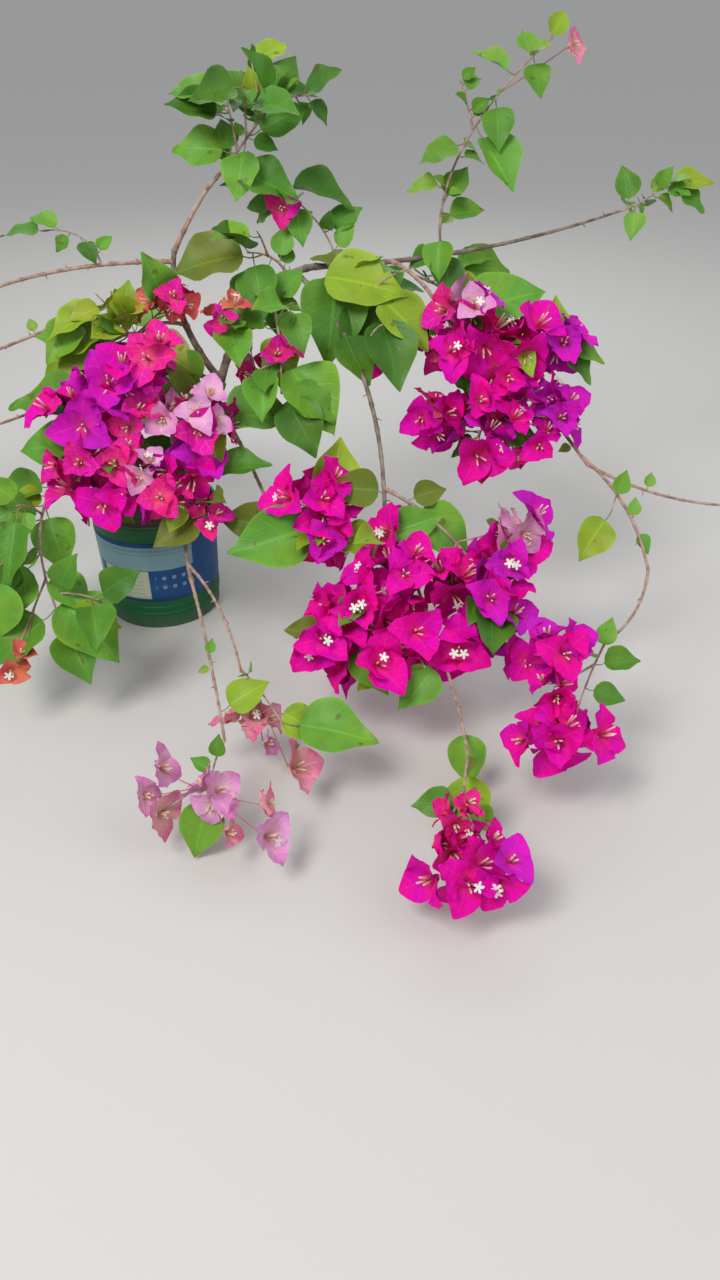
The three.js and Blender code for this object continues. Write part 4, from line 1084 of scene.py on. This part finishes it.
def leaf_finish(name, colour, turned):
    """Leaf green: a faint pale midrib and side veins, patches of a second green, a mottle that paints
    highlight and shade over a random tone, a little gloss.
    """
    leaf = Finish("leaf_" + name, 0.42, Specular_IOR_Level=0.25)
    across, along = leaf.blade()
    edge = abs(across)
    midrib = 1 - leaf.step(0.02, 0.09, edge)
    veins = leaf.side_veins(along, edge, 6.5, 1.8, leaf.noise(45.0) * 0.5, 0.02, 0.1)
    side_vein = veins * (1 - leaf.step(0.7, 1.0, edge))
    # Mottle: a random tone that also paints highlight and shade, by mixing a darker and a lighter copy of
    # each green
    mottle_and_painted_light = leaf.noise(38.0)
    patch = leaf.step(0.4, 0.66, leaf.noise(16.0))
    body = leaf.mix(mottle_and_painted_light, leaf.mix(patch, shade(colour, 0.66), shade(turned, 0.7)),
                    leaf.mix(patch, shade(colour, 1.3), shade(turned, 1.25)))
    rimmed = leaf.mix(leaf.step(0.86, 1.0, edge) * 0.3, body, shade(turned, 1.4))
    veined = leaf.mix(side_vein * 0.13 + midrib * 0.32, rimmed, shade(colour, 1.8))
    fleck = leaf.step(0.7, 0.74, leaf.noise(75.0, 1.0))
    leaf.colour(leaf.mix(fleck * 0.55, veined, FLECK_BROWN))
    leaf.rough(mottle_and_painted_light * 0.2 + 0.34)
    leaf.bump(side_vein * 0.5 + midrib * 0.8 - leaf.noise(260.0) * 0.25, 0.0007, 0.6)
    return leaf.material


def bract_finish(name, colour, heart, drift, glow=0.42):
    """Papery bract: fine veins, a warmer heart, a tint that drifts across the cluster, and painted highlight
    and shade on its crinkles.
    """
    bract = Finish("bract_" + name, 0.65, Specular_IOR_Level=0.08)
    across, along = bract.blade()
    edge = abs(across)
    midrib = 1 - bract.step(0.02, 0.1, edge)
    vein = bract.side_veins(along, edge, 5, 1.3, bract.noise(60.0) * 0.8, 0.03, 0.12)
    # The crinkle noise bumps the bract and also paints highlight and shade on it, as a darker and a lighter
    # copy of each tint
    crinkle_and_painted_light = bract.noise(90.0)
    wander = bract.step(0.42, 0.62, bract.noise(22.0))
    body = bract.mix(crinkle_and_painted_light, bract.mix(wander, shade(colour, 0.78), shade(drift, 0.78)),
                     bract.mix(wander, shade(colour, 1.16), shade(drift, 1.16)))
    warm = bract.mix((1 - bract.step(0.05, glow, along)) * 0.65, body, heart)
    bract.colour(bract.mix(vein * 0.25 + midrib * 0.3, warm, heart))
    bract.bump(vein * 0.4 + midrib * 0.6 - crinkle_and_painted_light, 0.0009, 0.6)
    return bract.material


# A leaf's green and the green of its patches
LEAF_COLOURS = {
    "deep": ((0.050, 0.160, 0.016), (0.080, 0.200, 0.016)),
    "mid": ((0.080, 0.240, 0.024), (0.120, 0.280, 0.022)),
    "bright": ((0.120, 0.330, 0.036), (0.180, 0.370, 0.030)),
    "lime": ((0.240, 0.390, 0.024), (0.300, 0.400, 0.024)),
    "yellow": ((0.340, 0.400, 0.030), (0.240, 0.360, 0.026)),
    "olive": ((0.160, 0.190, 0.022), (0.120, 0.200, 0.022)),
    "young": ((0.160, 0.380, 0.050), (0.240, 0.400, 0.050)),
}

# A bract's colour, its heart, the tint that it drifts to and, where it is wide, how far its heart glows
BRACT_COLOURS = {
    "hot": ((0.840, 0.002, 0.340), (0.880, 0.040, 0.250), (0.720, 0.002, 0.430)),
    "purple": ((0.680, 0.008, 0.500), (0.800, 0.045, 0.360), (0.540, 0.012, 0.520)),
    "rose": ((0.800, 0.016, 0.250), (0.860, 0.140, 0.220), (0.740, 0.010, 0.400)),
    "pale": ((0.740, 0.220, 0.560), (0.880, 0.620, 0.640), (0.720, 0.300, 0.640), 0.85),
    "blush": ((0.820, 0.150, 0.340), (0.880, 0.600, 0.480), (0.780, 0.280, 0.460), 0.85),
    "salmon": ((0.760, 0.110, 0.130), (0.820, 0.360, 0.180), (0.700, 0.180, 0.100)),
}
TUBE_CREAM = (0.80, 0.62, 0.46)


def bark_finish(name, dark, light, scale, depth):
    """Bark: streaks along the wood, pale lenticels and darker furrows."""
    bark = Finish("bark_" + name, 0.85)
    streak = bark.noise(scale, 6.0)
    spots = bark.noise(scale * 5, 2.0)
    lenticel = bark.step(0.62, 0.72, spots)
    body = bark.mix(bark.step(0.3, 0.7, streak), dark, light)
    bark.colour(bark.mix(lenticel * 0.35, body, shade(light, 1.5)))
    bark.bump(streak * -1 - spots * 0.4, depth, 0.8)
    return bark.material


def plain_finish(name, colour):
    """A small part's finish, lightly mottled."""
    plain = Finish(name, 0.5)
    plain.colour(plain.mix(plain.noise(120.0), shade(colour, 0.75), shade(colour, 1.2)))
    return plain.material


def tube_finish(name, foot):
    """A flower tube, from its deep foot to its cream tip."""
    tube = Finish("flower_tube_" + name, 0.55)
    _, along = tube.blade()
    tube.colour(tube.mix(tube.step(0.35, 0.95, along), foot, TUBE_CREAM))
    return tube.material


# The pail: two ridges low on its wall, the rings of its wall and its smallest steps
POT_RIDGES = (24.0, 35.0)
RIDGE_HALF = 2.2
RIDGE_OUT = 0.9
WALL_RINGS = (60.0, 90.0, 120.0, 150.0)
FOOT_HEIGHT = 2.0
SAME_RADIUS = 1e-6
SMOOTH_ANGLE = math.radians(35)
LABEL_PROUD = 0.35
LABEL_THICKNESS = 0.3
LABEL_RINGS = 8

# The soil: its height at the wall, how far it stays off the pail, its rings, its mound and crumbs
SOIL_EDGE = SOIL_TOP - 4
SOIL_OFF_WALL = 0.5
SOIL_OFF_FLOOR = 0.3
SOIL_RINGS = 16
SOIL_MOUND = 4
SOIL_SINK = 1.4
CRUMB_FADE = 6


def wall_radius(z):
    """The pail's outer radius at a height, in millimetres."""
    share = max(0.0, z - FOOT_HEIGHT) / (POT_HEIGHT - POT_RIM_HEIGHT - FOOT_HEIGHT)
    return POT_BASE_RADIUS + (POT_WALL_TOP_RADIUS - POT_BASE_RADIUS) * share


def deselect():
    bpy.ops.object.select_all(action="DESELECT")


def start_ring(vertices, radius, z, fill="NOTHING"):
    """Adds a ring at a height and opens it in edit mode, all chosen."""
    deselect()
    bpy.ops.mesh.primitive_circle_add(vertices=vertices, radius=radius * MM, location=(0, 0, z * MM),
                                      fill_type=fill)
    bpy.ops.object.transform_apply(location=True, rotation=False, scale=False)
    bpy.ops.object.mode_set(mode="EDIT")
    bpy.ops.mesh.select_all(action="SELECT")


def pull_up(steps, radius):
    """In edit mode, draws the chosen ring through (radius, rise) steps, as a lathe would."""
    for out, rise in steps:
        bpy.ops.mesh.extrude_region_move(TRANSFORM_OT_translate={"value": (0, 0, rise * MM)})
        if abs(out - radius) > SAME_RADIUS:
            factor = out / radius
            bpy.ops.transform.resize(value=(factor, factor, 1), center_override=(0, 0, 0))
        radius = out


def close_up():
    """Turns every face outwards and leaves edit mode."""
    bpy.ops.mesh.select_all(action="SELECT")
    bpy.ops.mesh.normals_make_consistent(inside=False)
    bpy.ops.object.mode_set(mode="OBJECT")


def finish_piece(name, material):
    piece = bpy.context.object
    piece.name = piece.data.name = name
    bpy.ops.object.transform_apply(location=True, rotation=True, scale=True)
    piece.data.materials.clear()
    piece.data.materials.append(material)
    bpy.ops.object.shade_smooth_by_angle(angle=SMOOTH_ANGLE)
    return piece


def pot_section():
    """The pail's section from its foot, up the wall and over the rim, and down inside."""
    section = [(POT_BASE_RADIUS - 2, 0.0), (POT_BASE_RADIUS - 0.6, 0.5), (POT_BASE_RADIUS, FOOT_HEIGHT)]
    for ridge in POT_RIDGES:
        for offset, out in ((-RIDGE_HALF, 0), (-RIDGE_HALF / 2, RIDGE_OUT), (RIDGE_HALF / 2, RIDGE_OUT),
                            (RIDGE_HALF, 0)):
            section.append((wall_radius(ridge + offset) + out, ridge + offset))
    rim_foot = POT_HEIGHT - POT_RIM_HEIGHT
    mouth = POT_WALL_TOP_RADIUS - POT_WALL
    section += [(wall_radius(z), z) for z in (*WALL_RINGS, rim_foot - 1)]
    section += [(POT_WALL_TOP_RADIUS + 0.6, rim_foot - 0.3), (POT_RIM_RADIUS - 0.5, rim_foot + 0.2),
                (POT_RIM_RADIUS, rim_foot + 1.2), (POT_RIM_RADIUS, POT_HEIGHT - 1.6),
                (POT_RIM_RADIUS - 0.6, POT_HEIGHT - 0.4), (POT_RIM_RADIUS - 1.6, POT_HEIGHT),
                (mouth + 0.8, POT_HEIGHT), (mouth, POT_HEIGHT - 1.0),
                (wall_radius(120) - POT_WALL, 120.0), (POT_BASE_RADIUS - POT_WALL, POT_FLOOR)]
    return section


def make_pot(material):
    section = pot_section()
    start_ring(96, section[0][0], 0, "NGON")
    pull_up([(out, z - low) for (out, z), (_, low) in zip(section[1:], section)], section[0][0])
    close_up()
    return finish_piece("pot_pail", material)


def make_label(material):
    """The printed sleeve round the pail, a thin skin on its wall."""
    low, high = wall_radius(LABEL_LOW) + LABEL_PROUD, wall_radius(LABEL_HIGH) + LABEL_PROUD
    rise = (LABEL_HIGH - LABEL_LOW) / LABEL_RINGS
    start_ring(128, low, LABEL_LOW)
    pull_up([(low + (high - low) * (k + 1) / LABEL_RINGS, rise) for k in range(LABEL_RINGS)], low)
    close_up()
    piece = finish_piece("pot_label", material)
    shell = piece.modifiers.new("thickness", "SOLIDIFY")
    shell.thickness = LABEL_THICKNESS * MM
    shell.offset = -1
    bpy.ops.object.modifier_apply(modifier="thickness")
    return piece


def make_soil(material):
    """A crumbly surface inside the rim, on a plain body of soil."""
    edge = wall_radius(SOIL_EDGE) - POT_WALL - SOIL_OFF_WALL
    start_ring(72, edge, SOIL_EDGE, "NGON")
    for _ in range(SOIL_RINGS):
        bpy.ops.mesh.inset(thickness=edge * MM / (SOIL_RINGS + 1.5))
    bpy.ops.object.mode_set(mode="OBJECT")
    piece = finish_piece("soil_surface", material)
    for vertex in piece.data.vertices:
        x, y, _ = vertex.co / MM
        out = math.hypot(x, y)
        crumb = noise.noise(Vector((x, y, 0)) * 0.11) * 1.6 + noise.noise(Vector((x, y, 9)) * 0.42) * 1.1
        mound = SOIL_MOUND * (1 - (out / edge) ** 4)
        vertex.co.z = (SOIL_EDGE + mound - SOIL_SINK + crumb * min(1, (edge - out) / CRUMB_FADE)) * MM
    bpy.ops.object.mode_set(mode="EDIT")
    bpy.ops.mesh.select_mode(type="EDGE")
    bpy.ops.mesh.select_all(action="DESELECT")
    bpy.ops.mesh.select_non_manifold()
    foot = POT_BASE_RADIUS - POT_WALL - SOIL_OFF_WALL
    pull_up([(foot, POT_FLOOR + SOIL_OFF_FLOOR - SOIL_EDGE)], edge)
    bpy.ops.mesh.edge_face_add()
    close_up()
    return piece


def pot_finish():
    """Moulded green plastic with scuffs and dust low down."""
    pot = Finish("pot_green", 0.4, Specular_IOR_Level=0.3)
    scuff = pot.noise(55.0, 6.0)
    height = pot.node("ShaderNodeSeparateXYZ", {}, {0: pot.place()}, 2)
    dust = (1 - pot.step(0.0, 0.03, height)) * scuff
    body = pot.mix(scuff, (0.002, 0.085, 0.022), (0.010, 0.140, 0.050))
    pot.colour(pot.mix(dust * 0.5, body, (0.20, 0.19, 0.16)))
    pot.rough(scuff * 0.25 + 0.34)
    pot.bump(pot.noise(700.0, 2.0), 0.0002, 0.3)
    return pot.material


# The label's print: rows in millimetres above the floor, columns in degrees round from the front
BAND_PRINT = (98, 135), (-70, 44)
PANEL_PRINT = (51, 97), (-49, 0)
BARS_PRINT = (56, 92), (-44, -6)
STRIP_PRINT = (51, 97), (-72, -58)
DOTS_PRINT = (60, 95), (6, 44)
TICK_ROWS = (127, 132)
RULE_ROWS = (122.6, 123.6)
INK = (0.04, 0.10, 0.20)


def label_finish():
    """A generic printed label: navy field, pale band with tick marks, cream panel, small dots."""
    label = Finish("label_print", 0.4, Specular_IOR_Level=0.3)
    place = label.place()
    x, y, z = (label.node("ShaderNodeSeparateXYZ", {}, {0: place}, k) for k in range(3))
    turn = label.node("ShaderNodeMath", {"operation": "ARCTAN2"}, {0: x, 1: y * -1})
    degrees = turn * (180 / math.pi)
    height = z * 1000

    def within(wire, low, high, soft=0.25):
        return label.step(low - soft, low + soft, wire) * (1 - label.step(high - soft, high + soft, wire))

    def block(rows, columns, soft=0.25):
        return within(height, *rows) * within(degrees, *columns, soft)

    def beat(wire, period, share):
        part = label.node("ShaderNodeMath", {"operation": "FRACT"}, {0: wire / period})
        return (part > 0.5 - share / 2) * (part < 0.5 + share / 2)

    worn = label.noise(45.0, 5.0)
    band, panel = block(*BAND_PRINT, 0.5), block(*PANEL_PRINT, 0.4)
    ticks = band * within(height, *TICK_ROWS) * beat(degrees, 2.4, 0.45)
    bars = panel * block(*BARS_PRINT) * beat(height, 7, 0.28)
    dots = block(*DOTS_PRINT) * beat(degrees, 9.5, 0.4) * beat(height - 2, 15, 0.36)
    colour = label.mix(worn, (0.004, 0.055, 0.190), (0.014, 0.095, 0.270))
    for mask, printed in ((band, (0.21, 0.37, 0.42)),
                          (ticks * 0.6, INK),
                          (band * within(height, *RULE_ROWS, 0.15) * 0.6, INK),
                          (panel, (0.50, 0.54, 0.40)),
                          (bars * 0.35, (0.12, 0.20, 0.30)),
                          (block(*STRIP_PRINT, 0.5) * 0.8, (0.28, 0.36, 0.42)),
                          (dots * 0.55, (0.35, 0.50, 0.60)),
                          (label.step(0.6, 0.8, worn) * 0.2, (0.25, 0.32, 0.32))):
        colour = label.mix(mask, colour, printed)
    label.colour(colour)
    label.rough(worn * 0.25 + 0.34)
    return label.material


def soil_finish():
    soil = Finish("soil_dark", 0.95)
    grain = soil.noise(160.0, 8.0)
    clump = soil.noise(35.0, 4.0)
    body = soil.mix(clump, (0.030, 0.020, 0.013), (0.090, 0.062, 0.042))
    soil.colour(soil.mix(soil.step(0.62, 0.7, grain) * 0.5, body, (0.26, 0.20, 0.14)))
    soil.bump(grain + clump, 0.003, 0.9)
    return soil.material


# The studio: a floor that reaches past the edge of every view, in metres, and three soft lights,
# each with its place, what it aims at, its size, its power in watts and its colour
FLOOR_SIZE = 90
FLOOR_COLOUR = (0.62, 0.61, 0.59, 1)
SKY_COLOUR = (0.95, 0.97, 1.0, 1)
SKY_STRENGTH = 0.5
LIGHTS = {
    "key": ((-0.7, -1.5, 2.3), (0.25, 0, 0.2), 1.0, 44, (1.0, 0.98, 0.95)),
    "fill": ((1.7, -0.9, 1.6), (0.3, 0, 0.3), 1.6, 9, (0.95, 0.97, 1.0)),
    "rim": ((0.2, 1.8, 1.8), (0.25, 0, 0.3), 1.4, 12, (1.0, 1.0, 1.0)),
}


def floor_finish():
    floor = Finish("floor_pale", 0.7)
    floor.shader.inputs["Base Color"].default_value = FLOOR_COLOUR
    return floor.material


def make_camera():
    camera = bpy.data.cameras.new("camera")
    camera.lens = CAMERA_LENS
    camera.sensor_width = SENSOR
    camera.clip_start = 0.01
    stand = bpy.data.objects.new("camera", camera)
    stand.location = CAMERA_PLACE
    stand.rotation_euler = (math.radians(90 - CAMERA_DOWN), 0, 0)
    bpy.context.scene.collection.objects.link(stand)
    bpy.context.scene.camera = stand


def make_light(name, place, aim, size, power, colour):
    lamp = bpy.data.lights.new(name, "AREA")
    lamp.size = size
    lamp.energy = power
    lamp.color = colour
    stand = bpy.data.objects.new(name, lamp)
    stand.location = place
    stand.rotation_euler = (Vector(aim) - Vector(place)).to_track_quat("-Z", "Y").to_euler()
    bpy.context.scene.collection.objects.link(stand)


def make_studio():
    deselect()
    bpy.ops.mesh.primitive_plane_add(size=FLOOR_SIZE, location=(0, 0, 0))
    floor = finish_piece("floor", floor_finish())
    world = bpy.data.worlds.new("studio")
    world.use_nodes = True
    sky = world.node_tree.nodes["Background"]
    sky.inputs["Color"].default_value = SKY_COLOUR
    sky.inputs["Strength"].default_value = SKY_STRENGTH
    bpy.context.scene.world = world
    for name, light in LIGHTS.items():
        make_light(name, *light)
    bpy.context.scene.view_settings.view_transform = "Standard"


make_camera()
make_studio()

trunk_sheaf = Sheaf("trunk_bark")
grow_trunk(trunk_sheaf)
old_bark = bark_finish("old", (0.110, 0.080, 0.058), (0.300, 0.240, 0.190), 70.0, 0.0012)
young_bark = bark_finish("young", (0.270, 0.160, 0.120), (0.520, 0.360, 0.290), 110.0, 0.0005)
trunk_piece = trunk_sheaf.make([old_bark])
cane_sheaf = Sheaf("cane_bark")
grow_canes(cane_sheaf, Dice(7))
cane_piece = cane_sheaf.make([old_bark, young_bark])

sheaves = {kind: Sheaf(kind) for kind in ("leaves", "bracts", "flowers", "twigs")}
for mass_name in MASSES:
    grow_mass(mass_name, sheaves)
grow_single_leaves(sheaves)
leaf_materials = [leaf_finish(name, *LEAF_COLOURS[name]) for name in GREENS]
bract_materials = [bract_finish(name, *BRACT_COLOURS[name]) for name in PINKS]
petiole = plain_finish("stalk_green", (0.20, 0.24, 0.07))
peduncle = plain_finish("stalk_pink", (0.42, 0.16, 0.12))
star_white = plain_finish("flower_white", (0.88, 0.86, 0.78))
tube_pink = tube_finish("pink", (0.50, 0.030, 0.130))
tube_pale = tube_finish("pale", (0.70, 0.420, 0.300))
leaves_piece = sheaves["leaves"].make(leaf_materials)
bracts_piece = sheaves["bracts"].make(bract_materials)
flowers_piece = sheaves["flowers"].make([star_white, tube_pink, tube_pale])
twigs_piece = sheaves["twigs"].make([young_bark, young_bark, petiole, peduncle])

pot_piece = make_pot(pot_finish())
label_piece = make_label(label_finish())
soil_piece = make_soil(soil_finish())

for piece in (trunk_piece, cane_piece, leaves_piece, bracts_piece, flowers_piece, twigs_piece, pot_piece,
              label_piece, soil_piece):
    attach(piece, "root")
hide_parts("trunk")
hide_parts(*[name for name in LIMBS if name != "trunk"])
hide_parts(*MASSES)
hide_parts("pot")
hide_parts("soil")
